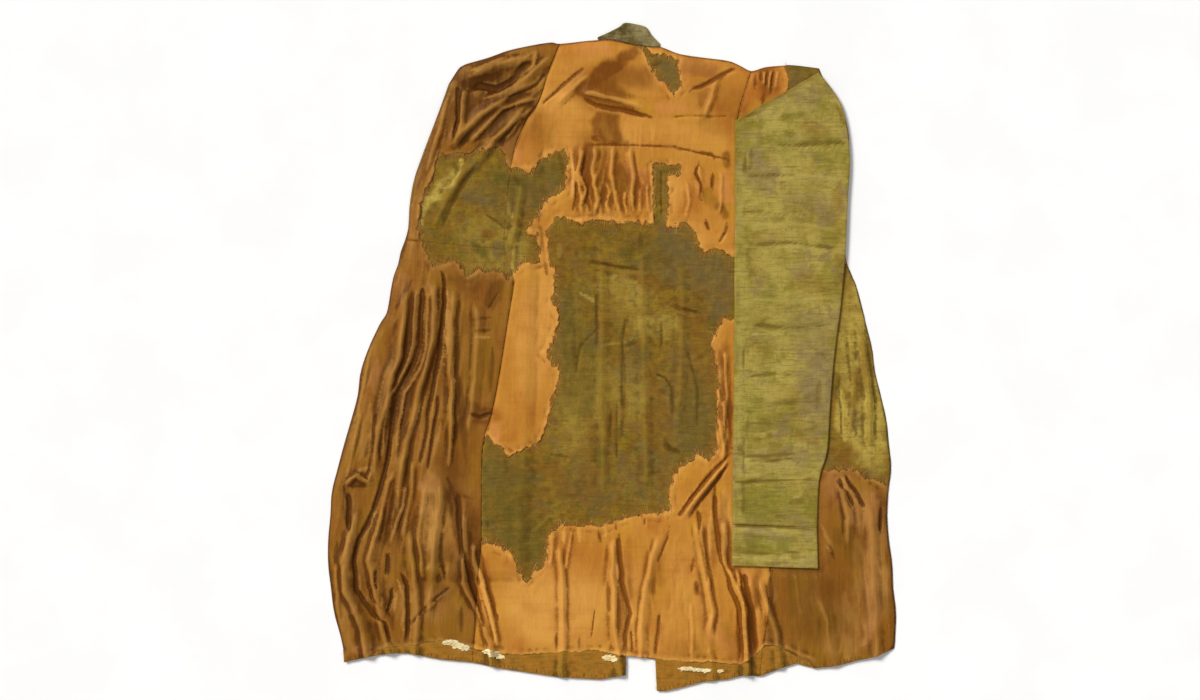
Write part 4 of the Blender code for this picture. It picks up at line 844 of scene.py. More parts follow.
        (4.5, 0.8, [(230, -234), (247, -233), (284, -230)]), (4.5, 0.64, [(282, -223), (298, -222)]),
        (4.5, 0.72, [(230, -315), (264, -317), (288, -319)]), (7, 0.8, [(336, -272), (358, -270)]),
        (5, 0.6, [(312, -296), (322, -298)]), (4.5, 0.56, [(292, -163), (316, -166)]),
        (6, 0.8, [(240, -166), (241, -180)]), (4, 0.48, [(336, -101), (354, -101)]),
        (3.5, 0.48, [(253, -105), (253, -156)]), (5, 0.5, [(313, 448), (350, 452), (384, 456)]),
        (5, 0.51, [(330, -376), (362, -374)]), (5, 0.51, [(250, 275), (284, 273)]),
        (5, 0.51, [(300, 257), (318, 258)]), (5, 0.51, [(356, 286), (372, 282)]),
        (4.5, 0.56, [(380, 320), (404, 318)]), (5, 0.42, [(340, 190), (400, 186)]),
        (4.5, 0.48, [(256, 140), (300, 137)]), (4.5, 0.48, [(330, 96), (390, 92)]),
        (5, 0.42, [(262, 60), (320, 56)]), (5, 0.59, [(374, 20), (402, -4)]),
        (4.5, 0.48, [(250, -26), (310, -30)]), (4.5, 0.48, [(300, -84), (372, -80)]),
        (4.5, 0.48, [(252, -124), (330, -122)]), (5, 0.6, [(300, 473), (280, 462), (262, 454)]),
        (5, 0.59, [(420, 470), (438, 430)]), (6, 0.6, [(388, -40), (384, -100)]),
        (5, 0.68, [(258, 352), (262, 390)]),
    ],
}


def smooth(share):
    """0 to 1, level at both ends."""
    share = np.clip(share, 0.0, 1.0)
    return share * share * (3.0 - 2.0 * share)


def rising(value, start, width):
    """0 up to a start, and 1 from a width further on."""
    return smooth((value - start) / width)


def lattice(column, row, seed):
    """A repeatable random value from 0 to 1 for each place of a lattice."""
    mixed = column.astype(np.uint32) * np.uint32(374761393) + row.astype(np.uint32) * np.uint32(668265263)
    mixed = mixed + np.uint32(seed * 2246822519 & 0xFFFFFFFF)
    mixed = (mixed ^ (mixed >> np.uint32(13))) * np.uint32(1274126177)
    mixed = mixed ^ (mixed >> np.uint32(16))
    return (mixed & np.uint32(0xFFFFFF)).astype(float) / 0xFFFFFF


def noise(x, y, width, height, seed, octaves=1):
    """Soft noise from -1 to 1, in patches of about the given width and height."""
    total = np.zeros(np.shape(x))
    scale, weight = 1.0, 1.0
    for octave in range(octaves):
        u, v = x / width * scale, y / height * scale
        column, row = np.floor(u).astype(np.int64), np.floor(v).astype(np.int64)
        across, up = smooth(u - column), smooth(v - row)
        corners = [lattice(column + i, row + j, seed + octave) for j in (0, 1) for i in (0, 1)]
        low = corners[0] + (corners[1] - corners[0]) * across
        high = corners[2] + (corners[3] - corners[2]) * across
        total += weight * (2.0 * (low + (high - low) * up) - 1.0)
        scale, weight = scale * 2.1, weight * 0.5
    return total


def rippled(x, y, ripples):
    """The sum of a table's soft noises."""
    total = np.zeros(np.shape(x))
    for ripple in ripples:
        total += ripple.share * noise(x, y, ripple.width, ripple.height, ripple.seed, ripple.octaves)
    return total


def ridged(x, y, width, height, seed, power, octaves=1):
    """Sharp winding ridges, thinner for a higher power."""
    return (1.0 - np.abs(noise(x, y, width, height, seed, octaves))) ** power


def closed(line):
    return [*line, line[0]]


def in_box_of(x, y, line, margin=0.0):
    """Which places lie in the box round a line, grown by a margin."""
    corners = np.array(line, float)
    low, high = corners.min(0) - margin, corners.max(0) + margin
    return np.flatnonzero((x >= low[0]) & (x <= high[0]) & (y >= low[1]) & (y <= high[1]))


def nearest_on_path(x, y, path):
    """For each place: the distance to a path, its side of it, how far along it is, and the length."""
    best = np.full(np.shape(x), np.inf)
    side = np.zeros(np.shape(x))
    along = np.zeros(np.shape(x))
    run = 0.0
    for (ax, ay), (bx, by) in zip(path, path[1:]):
        length = math.hypot(bx - ax, by - ay)
        if length == 0:
            continue
        ux, uy = (bx - ax) / length, (by - ay) / length
        reach = np.clip((x - ax) * ux + (y - ay) * uy, 0.0, length)
        off_x, off_y = x - ax - reach * ux, y - ay - reach * uy
        gap = np.hypot(off_x, off_y)
        nearer = gap < best
        best = np.where(nearer, gap, best)
        side = np.where(nearer, np.sign(ux * off_y - uy * off_x), side)
        along = np.where(nearer, run + reach, along)
        run += length
    return best, side, along, run


def gap_to(x, y, path):
    return nearest_on_path(x, y, path)[0]


def inside(x, y, loop):
    """Whether each place lies in a loop, worked out only near the loop."""
    near = in_box_of(x, y, loop)
    found = np.zeros(len(x), bool)
    part_x, part_y = x[near], y[near]
    odd = np.zeros(len(near), bool)
    for (ax, ay), (bx, by) in zip(loop, [*loop[1:], loop[0]]):
        if ay == by:
            continue
        crosses = (ay > part_y) != (by > part_y)
        odd ^= crosses & (part_x < ax + (part_y - ay) * (bx - ax) / (by - ay))
    found[near] = odd
    return found


def x_at(line, y):
    """Where a seam that runs down the garment is at height y."""
    upward = sorted(line, key=lambda point: point.y)
    return np.interp(y, [point.y for point in upward], [point.x for point in upward])


def y_at(line, x):
    """How high a line that runs across the garment is at x."""
    return np.interp(x, [point.x for point in line], [point.y for point in line])


def divided(line, step, ring=False):
    """A line with more points, a step apart or less."""
    ends = closed(line) if ring else list(line)
    found = []
    for a, b in zip(ends, ends[1:]):
        count = max(1, round(math.hypot(b[0] - a[0], b[1] - a[1]) / step))
        for i in range(count):
            found.append(Point(a[0] + (b[0] - a[0]) * i / count, a[1] + (b[1] - a[1]) * i / count))
    return found if ring else [*found, ends[-1]]


def bent(p, q, r, s, t):
    """A value between q and r, on a smooth curve that comes from p and goes on to s (Catmull-Rom)."""
    square = (2 * p - 5 * q + 4 * r - s) * t * t
    return 0.5 * (2 * q + (r - p) * t + square + (3 * q - p - 3 * r + s) * t ** 3)


def rounded(line, step):
    """A line through the same points, bent softly from one to the next."""
    found = []
    for i in range(len(line) - 1):
        a, b = line[i], line[i + 1]
        before = line[i - 1] if i > 0 else a
        after = line[i + 2] if i + 2 < len(line) else b
        steps = max(1, round(math.hypot(b[0] - a[0], b[1] - a[1]) / step))
        for j in range(steps):
            t = j / steps
            found.append(Point(*(bent(*values, t) for values in zip(before, a, b, after))))
    return [*found, line[-1]]


def outward(line, i):
    """Which way is out at a point of a line that runs anticlockwise."""
    ax, ay = line[i - 1]
    bx, by = line[(i + 1) % len(line)]
    length = math.hypot(bx - ax, by - ay) or 1.0
    return (by - ay) / length, (ax - bx) / length


def ragged(line, depth, seed, ring=True):
    """A torn edge: a line with small teeth and bites, deeper along the threads that run down."""
    fine = divided(line, RIP_STEP, ring)
    moved = []
    for i, (x, y) in enumerate(fine):
        if not ring and i in (0, len(fine) - 1):
            moved.append(Point(x, y))
            continue
        out_x, out_y = outward(fine, i)
        place = np.array([float(i)])
        wide = float(noise(place, place * 0, 8.0, 1.0, seed)[0])
        tooth = float(noise(place, place * 0, 2.3, 1.0, seed + 7, 2)[0])
        push = depth * (wide + 0.9 * tooth)
        moved.append(Point(x + 0.7 * out_x * push, y + 1.3 * out_y * push))
    return moved


def ring_sides(rings):
    """The left and the right edge of a row of rings."""
    left = [Point(ring.left_x, ring.left_y) for ring in rings]
    right = [Point(ring.right_x, ring.right_y) for ring in rings]
    return left, right


def ring_outline(rings):
    """The outline of a row of rings, from the first one's left end."""
    left, right = ring_sides(rings)
    return left + right[::-1]


LEFT_SIDE = [Point(row.left, row.y) for row in BODY_SECTIONS]
RIGHT_SIDE = [Point(row.right, row.y) for row in BODY_SECTIONS]
TOP_AND_RIGHT = RIGHT_SIDE[::-1] + SHOULDER_LINE[::-1]
SIDES = TOP_AND_RIGHT + LEFT_SIDE  # anticlockwise, as the outlines are
OVER_LOOP = closed(ring_outline([*OVER_SLEEVE, *OVER_CUFF]))
UNDER_LOOP = closed(ring_outline([*UNDER_SLEEVE, *UNDER_CUFF]))
ROUND_SIDES = rounded(LEFT_SIDE, OUTLINE_STEP)
ROUND_TOP_AND_RIGHT = [*rounded(RIGHT_SIDE[::-1], OUTLINE_STEP), *rounded(SHOULDER_LINE[::-1], OUTLINE_STEP)]
ROUND_EDGES = [*rounded(TOP_AND_RIGHT, EDGE_STEP), *rounded(LEFT_SIDE, EDGE_STEP)]
FRONT_OUTLINE = [*ROUND_SIDES, *ROUND_TOP_AND_RIGHT]
SHEET_OUTLINE = [*ROUND_SIDES, *divided(HEM_LINE, OUTLINE_STEP), *ROUND_TOP_AND_RIGHT]
TORN = {name: ragged(loop, TORN_DEPTH, 50 + i) for i, (name, loop) in enumerate(RIPS.items())}
TORN_HEM = ragged(SILK_HEM, HEM_DEPTH, 70, ring=False)
BELOW_HEM = [*TORN_HEM, Point(SILK_HEM[-1].x, FAR_BELOW), Point(SILK_HEM[0].x, FAR_BELOW)]


def fold_profile(fold, x, y, crest_width):
    """The height of one fold or trough: a crest, more or less sharp, with hollow flanks."""
    height = np.zeros(np.shape(x))
    near = in_box_of(x, y, fold.path, fold.half_width)
    gap, side, along, length = nearest_on_path(x[near], y[near], fold.path)
    across = np.clip(side * gap / fold.half_width, -1.0, 1.0)
    crest = MOST_LEAN * fold.lean
    away = np.where(across < crest, (crest - across) / (1 + crest), (across - crest) / (1 - crest))
    flank = (np.hypot(away, crest_width) - crest_width) / (math.hypot(1.0, crest_width) - crest_width)
    ends = smooth(np.minimum(along, length - along) / min(FOLD_END * fold.half_width, 0.5 * length))
    uneven = 1.0 + 0.3 * noise(along, along * 0, 30.0, 1.0, int(abs(fold.path[0][0])) + 3)
    height[near] = fold.height * ends * uneven * (1.0 - np.minimum(flank, 1.0)) ** CREST_POWER
    return height


def wavering(x, y, reach, seed):
    """Places moved a little to and fro, so that what is drawn straight comes out uneven."""
    moved_x = x + reach * (noise(x, y, 40.0, 34.0, seed) + 0.3 * noise(x, y, 17.0, 15.0, seed + 1))
    moved_y = y + reach * (noise(x, y, 36.0, 42.0, seed + 2) + 0.3 * noise(x, y, 17.0, 15.0, seed + 3))
    return moved_x, moved_y


def folded(x, y, folds, crest_width, reach=0.0, seed=0):
    """The height that a table of folds or creases adds."""
    bent_x, bent_y = wavering(x, y, reach, seed) if reach else (x, y)
    total = np.zeros(np.shape(x))
    for fold in folds:
        total += fold_profile(fold, bent_x, bent_y, crest_width)
    return total


def lift_at(x, y):
    """How far the sleeve folded under the body raises it."""
    covered = inside(x, y, UNDER_LOOP)
    away = 1.0 - rising(gap_to(x, y, UNDER_LOOP), LIFT_MARGIN, LIFT_RAMP)
    return np.where(covered, SLEEVE_LIFT, SLEEVE_LIFT * away)


def pressed_at(x, y):
    """0 under the sleeve that lies on the back, and 1 away from it."""
    covered = inside(x, y, OVER_LOOP)
    return np.where(covered, 0.0, rising(gap_to(x, y, OVER_LOOP), SLEEVE_MARGIN, SLEEVE_PRESS))


def from_sides(x, y, width):
    """0 at the side and shoulder edges, and 1 from a width further in."""
    return smooth(gap_to(x, y, SIDES) / width)


def roll_at(x, y, width):
    """0 at the side and shoulder edges and 1 further in, along a quarter round."""
    share = np.clip(gap_to(x, y, ROUND_EDGES) / width, 0.0, 1.0)
    return np.sqrt(1.0 - (1.0 - share) ** 2)


def seam_dip(x, y):
    """1 on a seam, and 0 away from it."""
    total = np.zeros(np.shape(x))
    for seam in (LEFT_SEAM, RIGHT_SEAM, LEFT_UNDERARM, RIGHT_UNDERARM):
        total = np.maximum(total, 1.0 - smooth(gap_to(x, y, seam) / SEAM_DIP_WIDTH))
    return total


def base_height(x, y):
    """The cloth's underside, with the main folds."""
    edge = from_sides(x, y, EDGE_RAMP)
    height = lift_at(x, y) + CLOTH_LOW + SLACK * edge
    return height + folded(x, y, FOLDS, FOLD_CREST, 2.6, 97) * pressed_at(x, y) * edge


def flow(x, y):
    """How far across the garment a place is, along lines that follow the sides and the seams."""
    places = [x_at(LEFT_SIDE, y), x_at(LEFT_SEAM, y), x_at(RIGHT_SEAM, y), x_at(RIGHT_SIDE, y)]
    found = np.zeros(np.shape(x))
    for low, high, start, width in zip(places, places[1:], FLOW_STARTS, FLOW_WIDTHS):
        share = (x - low) / np.maximum(high - low, 1.0)
        found = np.where(x >= low, start + share * width, found)
    return found


def crumple(x, y, seed):
    """Wrinkles that run down the garment, with sharp crests and calm places between them."""
    across = flow(x, y) + 12.0 * noise(x, y, 110.0, 130.0, seed + 40)
    across = across + 2.5 * noise(x, y, 22.0, 40.0, seed + 41)
    wide = ridged(across, y, 30.0, 190.0, seed, 3, 2)
    narrow = ridged(across, y, 12.0, 80.0, seed + 9, 3)
    calm = smooth(0.55 + 1.1 * noise(x, y, 60.0, 110.0, seed + 21))
    return (0.85 * wide + 0.3 * narrow) * calm


def wrinkled_at(x, y):
    """How wrinkled the silk is: most in the left gore, the gathers and the back's lower right."""
    left, right = x_at(LEFT_SEAM, y), x_at(RIGHT_SEAM, y)
    calm = smooth((x - left + 95) / 50) * rising(y, -330, 80)
    gores = smooth((left - x + 20) / 40) * (1 - 0.75 * calm)
    gores += 0.3 * smooth((x - right + 10) / 40)
    hem = smooth((-250 - y) / 90) * (1 - gores) * rising(x, -90, 90)
    gathers = (1 - rising(abs(x - 10), 60, 30)) * (1 - rising(abs(y - 340), 70, 30))
    return 0.3 + 1.1 * gores + 0.9 * hem + 1.2 * gathers


def silk_detail(x, y):
    """The silk's creases and wrinkles over the folds."""
    creases = folded(x, y, SILK_CREASES, CREASE_CREST, 2.4, 91)
    slant = np.where(x < 0.0, 0.17, -0.06)
    pulled = ridged(x - slant * y, y, 13.0, 74.0, 28, 5)
    wrinkles = crumple(x, y, 11) + 0.75 * pulled - 0.4
    return CREASE_SHARE * creases + wrinkled_at(x, y) * wrinkles + rippled(x, y, SILK_SWELL)


def cloth_detail(x, y):
    """The backing cloth's puckers and creases."""
    creases = folded(x, y, CLOTH_CREASES, CREASE_CREST, 2.0, 95)
    ridges = 0.7 * ridged(x, y, 34.0, 22.0, 24, 4) + 0.5 * ridged(x, y, 18.0, 46.0, 26, 5)
    return creases + rippled(x, y, CLOTH_PUCKERS) + ridges + rippled(x, y, CLOTH_SWELL)


def cloth_height(x, y, gap):
    """The backing cloth's face: puckered where it shows, flat and low under whole silk."""
    bare = 1.0 - rising(gap, 1.0, CLOTH_RISE_WIDTH)
    detail = np.maximum(cloth_detail(x, y) * pressed_at(x, y), CLOTH_LEAST_DETAIL)
    shown = base_height(x, y) + CLOTH_WALL + from_sides(x, y, CLOTH_EDGE) * detail
    hidden = lift_at(x, y) + FRONT_WALL + CLOTH_SHELL + CLOTH_OVER_FRONT
    face = hidden + (shown - hidden) * bare
    return EDGE_LOW + (face - EDGE_LOW) * roll_at(x, y, EDGE_ROLL)


def silk_height(x, y, gap):
    """The silk's face: over the cloth, with creases, and with torn edges curled up in places."""
    edge = from_sides(x, y, SILK_EDGE)
    near_tear = 1.0 - rising(np.abs(gap), CLOTH_RISE_WIDTH, 12.0)
    cloth = base_height(x, y) + CLOTH_WALL
    free = pressed_at(x, y) * edge
    frill = near_tear * rippled(x, y, SILK_FRILL)
    face = cloth + SILK_LIFT + free * (SILK_PUFF * (1.0 - 0.7 * near_tear) + silk_detail(x, y) + frill)
    face -= SEAM_DIP * seam_dip(x, y) * edge
    lowest = lift_at(x, y) + FRONT_WALL + CLOTH_SHELL + SILK_SHELL + SILK_OVER_CLOTH
    lowest += (cloth + SILK_LIFT + SILK_LEAST - lowest) * near_tear
    over = face - lowest
    face = lowest + 0.5 * (over + np.sqrt(over * over + 0.16))
    curl = (1.0 - smooth(np.abs(gap) / CURL_WIDTH)) * np.maximum(rippled(x, y, CURL), 0.0)
    face += CURL_HEIGHT * curl * free
    return EDGE_LOW + SILK_LIFT + (face - EDGE_LOW - SILK_LIFT) * roll_at(x, y, EDGE_ROLL)


class Layer:
    """Flat triangles inside an outline, with the given lines kept as edges."""

    def __init__(self, outline, lines, fine):
        first = np.array([point for line in [outline, *lines] for point in line], float)
        places, edges = [], []
        for line in [closed(outline), *lines]:
            start = len(places)
            places += [(point[0], point[1]) for point in line]
            edges += [(start + i, start + i + 1) for i in range(len(line) - 1)]
        places += [(float(x), float(y)) for x, y in thinned(first, fine)]
        made = delaunay_2d_cdt([Vector(place) for place in places], edges, [], 0, 1e-3, False)
        flat = np.array([(point.x, point.y) for point in made[0]])
        self.x, self.y = flat[:, 0], flat[:, 1]
        triangles = np.array(made[2], int)
        middle = flat[triangles].mean(1)
        kept = inside(middle[:, 0], middle[:, 1], outline)
        self.triangles = triangles[kept]
        self.middle_x, self.middle_y = middle[kept, 0], middle[kept, 1]


def thinned(first, rest):
    """The other places that share no cell with one of the first places or with one before them."""
    places = np.concatenate([first, rest])
    cells = np.floor(places / CELL).astype(int)
    keys = cells[:, 0] * 100003 + cells[:, 1]
    _, kept = np.unique(keys, return_index=True)
    kept = kept[kept >= len(first)]
    return places[np.sort(kept)]


def jittered_grid(step, seed, outline):
    """A triangular grid inside an outline, each point moved a little."""
    corners = np.array(outline, float)
    low, high = corners.min(0), corners.max(0)
    y_rows = np.arange(low[1], high[1], step * math.sqrt(0.75))
    x, y = np.meshgrid(np.arange(low[0], high[0], step), y_rows)
    x = x + 0.5 * step * (np.arange(len(y_rows)) % 2)[:, None]
    rng = np.random.default_rng(seed)
    x = x.ravel() + rng.uniform(-0.12, 0.12, x.size) * step
    y = y.ravel() + rng.uniform(-0.12, 0.12, y.size) * step
    kept = inside(x, y, outline)
    return np.stack([x[kept], y[kept]], 1)


def crease_points(creases, outline):
    """Places along the crest and both feet of each crease, so that the mesh follows it."""
    found = []
    for crease in creases:
        line = np.array(divided(crease.path, CREASE_STEP), float)
        turn = np.gradient(line, axis=0)
        turn /= np.maximum(np.linalg.norm(turn, axis=1), 1e-9)[:, None]
        across = np.stack([-turn[:, 1], turn[:, 0]], 1)
        for share in (-1.0, 0.55 * crease.lean, 1.0):
            found.append(line + across * crease.half_width * share)
    found = np.concatenate(found)
    return found[inside(found[:, 0], found[:, 1], outline)]


def new_piece(name, vertices, faces, material, attributes=None):
    """An object from arrays of places in millimetres, corners and per-point values."""
    mesh = bpy.data.meshes.new(name)
    faces = np.asarray(faces, np.int32)
    sides = faces.shape[1]
    mesh.vertices.add(len(vertices))
    mesh.vertices.foreach_set("co", (np.asarray(vertices) * MM).astype(np.float32).ravel())
    mesh.loops.add(faces.size)
    mesh.loops.foreach_set("vertex_index", faces.ravel())
    mesh.polygons.add(len(faces))
    mesh.polygons.foreach_set("loop_start", np.arange(0, faces.size, sides, dtype=np.int32))
    mesh.update(calc_edges=True)
    mesh.validate()
    for key, values in (attributes or {}).items():
        layer = mesh.attributes.new(key, "FLOAT", "POINT")
        layer.data.foreach_set("value", np.asarray(values, np.float32))
    mesh.materials.append(material)
    mesh.shade_smooth()
    piece = bpy.data.objects.new(name, mesh)
    bpy.context.scene.collection.objects.link(piece)
    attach(piece, "root")
    return piece


def solid_shell(piece, thickness):
    """Gives a sheet its thickness, below its face."""
    shell = piece.modifiers.new("wall", "SOLIDIFY")
    shell.thickness = thickness * MM
    shell.offset = -1.0


def cut_out(layer, wanted):
    """The corners that some of a layer's triangles use, and the triangles renumbered."""
    used, faces = np.unique(layer.triangles[wanted], return_inverse=True)
    faces = faces.reshape(-1, 3)
    a, b, c = (np.stack([layer.x[used], layer.y[used]], 1)[faces[:, i]] for i in range(3))
    area = (b[:, 0] - a[:, 0]) * (c[:, 1] - a[:, 1]) - (b[:, 1] - a[:, 1]) * (c[:, 0] - a[:, 0])
    faces[area < 0] = faces[area < 0][:, ::-1]
    return used, faces[np.abs(area) > 1e-4]


def make_sheets(layer, height, looks, wall, masks, ending, slots):
    """A sheet for each mask of a layer, with its looks' values at each point."""
    pieces = {}
    for name, wanted in masks.items():
        used, faces = cut_out(layer, wanted)
        places = np.stack([layer.x[used], layer.y[used], height[used]], 1)
        values = {key: value[used] for key, value in looks.items()}
        slot = slots[name]
        piece = new_piece(name + ending + "_sheet", places, faces, MATERIALS[slot], values)
        solid_shell(piece, wall)
        pieces[name + ending] = piece
    return pieces


def stroke_share(stroke, x, y):
    """How strong one stroke is at each place: full along its line, soft at its sides, thin at its ends."""
    near = in_box_of(x, y, stroke.path, 1.6 * stroke.half_width)
    found = np.zeros(np.shape(x))
    gap, _, along, length = nearest_on_path(x[near], y[near], stroke.path)
    width = stroke.half_width
    if length > 4.0 * width:
        width = width * (0.3 + 0.7 * smooth(np.minimum(along, length - along) / (0.35 * length)))
    found[near] = stroke.share * (1.0 - rising(gap / width, 0.45, 0.75))
    return found


def zone_values(kind, x, y):
    """How strong one look is at each place, from its patches and strokes, with uneven edges."""
    total = np.zeros(np.shape(x))
    wander_x, wander_y = rippled(x, y, WANDER_X), rippled(x, y, WANDER_Y)
    near_x = x + rippled(x, y, TREMBLE_X) + 0.12 * wander_x
    near_y = y + rippled(x, y, TREMBLE_Y) + 0.12 * wander_y
    for stroke in rows(Stroke, STROKES.get(kind, ())):
        loose = 0.9 * rising(stroke.half_width, 7.0, 12.0)
        share = stroke_share(stroke, near_x + loose * wander_x, near_y + loose * wander_y)
        total = np.maximum(total, share)
    for patch in rows(Patch, ZONES.get(kind, ())):
        turn = math.radians(patch.turn)
        across, up = x + wander_x - patch.x, y + wander_y - patch.y
        u = (across * math.cos(turn) + up * math.sin(turn)) / patch.half_x
        v = (up * math.cos(turn) - across * math.sin(turn)) / patch.half_y
        total = np.maximum(total, patch.share * (1.0 - rising(np.hypot(u, v), 0.45, 0.8)))
    return total


def zones_of(cloth, kinds, x, y):
    """The values of some of a cloth's looks, by name."""
    return {kind: zone_values(cloth + "_" + kind, x, y) for kind in kinds}


def hollows(layer, height):
    """How deep each point lies among those round it, in millimetres: above 0 in a trough. The materials
    paint shade in the troughs and highlights on the ridges from it.
    """
    a, b, c = layer.triangles.T
    start = np.concatenate([a, b, c, b, c, a])
    end = np.concatenate([b, c, a, a, b, c])
    count = np.maximum(np.bincount(start, minlength=len(height)), 1)
    level = height.copy()
    for _ in range(SHADE_ROUNDS):
        level = 0.5 * level + 0.5 * np.bincount(start, level[end], len(height)) / count
    return level - height


LEFT_LINE = rounded(LEFT_SEAM, OUTLINE_STEP)
RIGHT_LINE = rounded(RIGHT_SEAM, OUTLINE_STEP)
SEAMS = [LEFT_LINE, RIGHT_LINE, divided(LEFT_UNDERARM, OUTLINE_STEP), divided(RIGHT_UNDERARM, OUTLINE_STEP)]


def panel_masks(x, y):
    """Which panel covers each place, by name."""
    left = x < x_at(LEFT_LINE, y)
    right = x > x_at(RIGHT_LINE, y)
    left_top = left & (y > y_at(LEFT_UNDERARM, x))
    right_top = right & (y > y_at(RIGHT_UNDERARM, x))
    return {
        "sleeve_left_head": left_top,
        "gore_left": left & ~left_top,
        "back": ~left & ~right,
        "gore_right": right & ~right_top,
        "sleeve_right_head": right_top,
    }


def silk_masks(x, y):
    """Which panel's silk is whole at each place, by name."""
    gone = {name: inside(x, y, loop) for name, loop in TORN.items()}
    below = inside(x, y, BELOW_HEM)
    found = {}
    for panel, mask in panel_masks(x, y).items():
        torn = below.copy()
        for rip in RIPS_OF_PANEL[panel]:
            torn |= gone[rip]
        found[panel] = mask & ~torn
    return found


def tear_distance(x, y):
    """How far each place is from the silk's torn edges, below 0 where the silk is gone."""
    gap = np.full(np.shape(x), FAR)
    masks = panel_masks(x, y)
    for panel, rips in RIPS_OF_PANEL.items():
        here = np.flatnonzero(masks[panel])
        part_x, part_y = x[here], y[here]
        for rip in rips:
            reach = gap_to(part_x, part_y, closed(RIPS[rip]))
            reach = np.where(inside(part_x, part_y, TORN[rip]), -reach, reach)
            gap[here] = np.where(np.abs(reach) < np.abs(gap[here]), reach, gap[here])
    spanned = (x > SILK_HEM[0].x) & (x < SILK_HEM[-1].x)
    over_hem = np.where(spanned, y - y_at(SILK_HEM, x), FAR)
    return np.where(np.abs(over_hem) < np.abs(gap), over_hem, gap)


def moved_in(line, reaches):
    """A loop, each of its points moved in by its own reach."""
    moved = []
    for i, (point, reach) in enumerate(zip(line, reaches)):
        out_x, out_y = outward(line, i)
        moved.append(Point(point.x - out_x * reach, point.y - out_y * reach))
    return moved


def make_silk():
    """The silk's panels."""
    lines = [*SEAMS, *(closed(loop) for loop in TORN.values()), TORN_HEM]
    crests = crease_points([*FOLDS, *SILK_CREASES], SHEET_OUTLINE)
    grid = jittered_grid(SILK_STEP, 1, SHEET_OUTLINE)
    layer = Layer(SHEET_OUTLINE, lines, np.concatenate([crests, grid]))
    gap = tear_distance(layer.x, layer.y)
    height = silk_height(layer.x, layer.y, gap)
    looks = zones_of("silk", ("dark", "light", "red", "pink", "tan"), layer.x, layer.y)
    # Values for painted shade in the troughs and painted highlights on the ridges
    looks["relief_shading"] = hollows(layer, height)
    looks["edge"] = np.exp(-np.abs(gap) / TEAR_SHADE)
    masks = silk_masks(layer.middle_x, layer.middle_y)
    return make_sheets(layer, height, looks, SILK_SHELL, masks, "_silk", SILK_OF_PANEL)


def make_cloth():
    """The backing cloth's panels, fine where they show and coarse under whole silk."""
    outline = np.array(SHEET_OUTLINE, float)
    covered = rising(tear_distance(outline[:, 0], outline[:, 1]), 2.0, 10.0)
    edge = moved_in(SHEET_OUTLINE, CLOTH_INSET * covered)
    crests = crease_points([*FOLDS, *CLOTH_CREASES], edge)
    fine = np.concatenate([crests, jittered_grid(CLOTH_STEP, 2, edge)])
    fine = fine[tear_distance(fine[:, 0], fine[:, 1]) < CLOTH_MARGIN]
    layer = Layer(edge, SEAMS, np.concatenate([fine, jittered_grid(HIDDEN_STEP, 3, edge)]))
    gap = tear_distance(layer.x, layer.y)
    height = cloth_height(layer.x, layer.y, gap)
    looks = zones_of("cloth", ("yellow", "grey", "brown", "green", "dark"), layer.x, layer.y)
    looks["hem"] = HEM_TINT * (1 - rising(layer.y - y_at(SILK_HEM, layer.x), 2, 8))
    # Values for painted shade in the troughs and painted highlights on the ridges
    looks["relief_shading"] = hollows(layer, height)
    # Where the silk is lighter along its torn edges, and where the cloth carries a painted shadow of those
    # edges
    looks["edge"] = np.exp(-np.abs(gap) / TEAR_SHADE)
    masks = panel_masks(layer.middle_x, layer.middle_y)
    slots = dict.fromkeys(masks, "olive_cloth")
    return make_sheets(layer, height, looks, CLOTH_SHELL, masks, "_cloth", slots)


def make_fronts():
    """The plies under the back: plain, flat on the table and over the sleeve folded under."""
    edge = moved_in(FRONT_OUTLINE, np.full(len(FRONT_OUTLINE), CLOTH_INSET))
    top, bottom = y_at(SHOULDER_LINE, FRONT_EDGE_X), BODY_SECTIONS[-1].y
    opening = divided([Point(FRONT_EDGE_X, top), Point(FRONT_EDGE_X, bottom)], OUTLINE_STEP)
    layer = Layer(edge, [*SEAMS, opening], jittered_grid(HIDDEN_STEP, 4, edge))
    height = lift_at(layer.x, layer.y) + FRONT_WALL - FRONT_LESS
    panels = panel_masks(layer.middle_x, layer.middle_y)
    body = ~(panels["sleeve_left_head"] | panels["sleeve_right_head"])
    masks = {
        "front_left": body & (layer.middle_x < FRONT_EDGE_X),
        "front_right": body & (layer.middle_x > FRONT_EDGE_X),
        "sleeve_left_head_under": panels["sleeve_left_head"],
        "sleeve_right_head_under": panels["sleeve_right_head"],
    }
    slots = dict.fromkeys(masks, "lining_cloth")
    looks = {"relief_shading": np.zeros(len(layer.x))}
    return make_sheets(layer, height, looks, FRONT_WALL - SHELL_LESS, masks, "", slots)


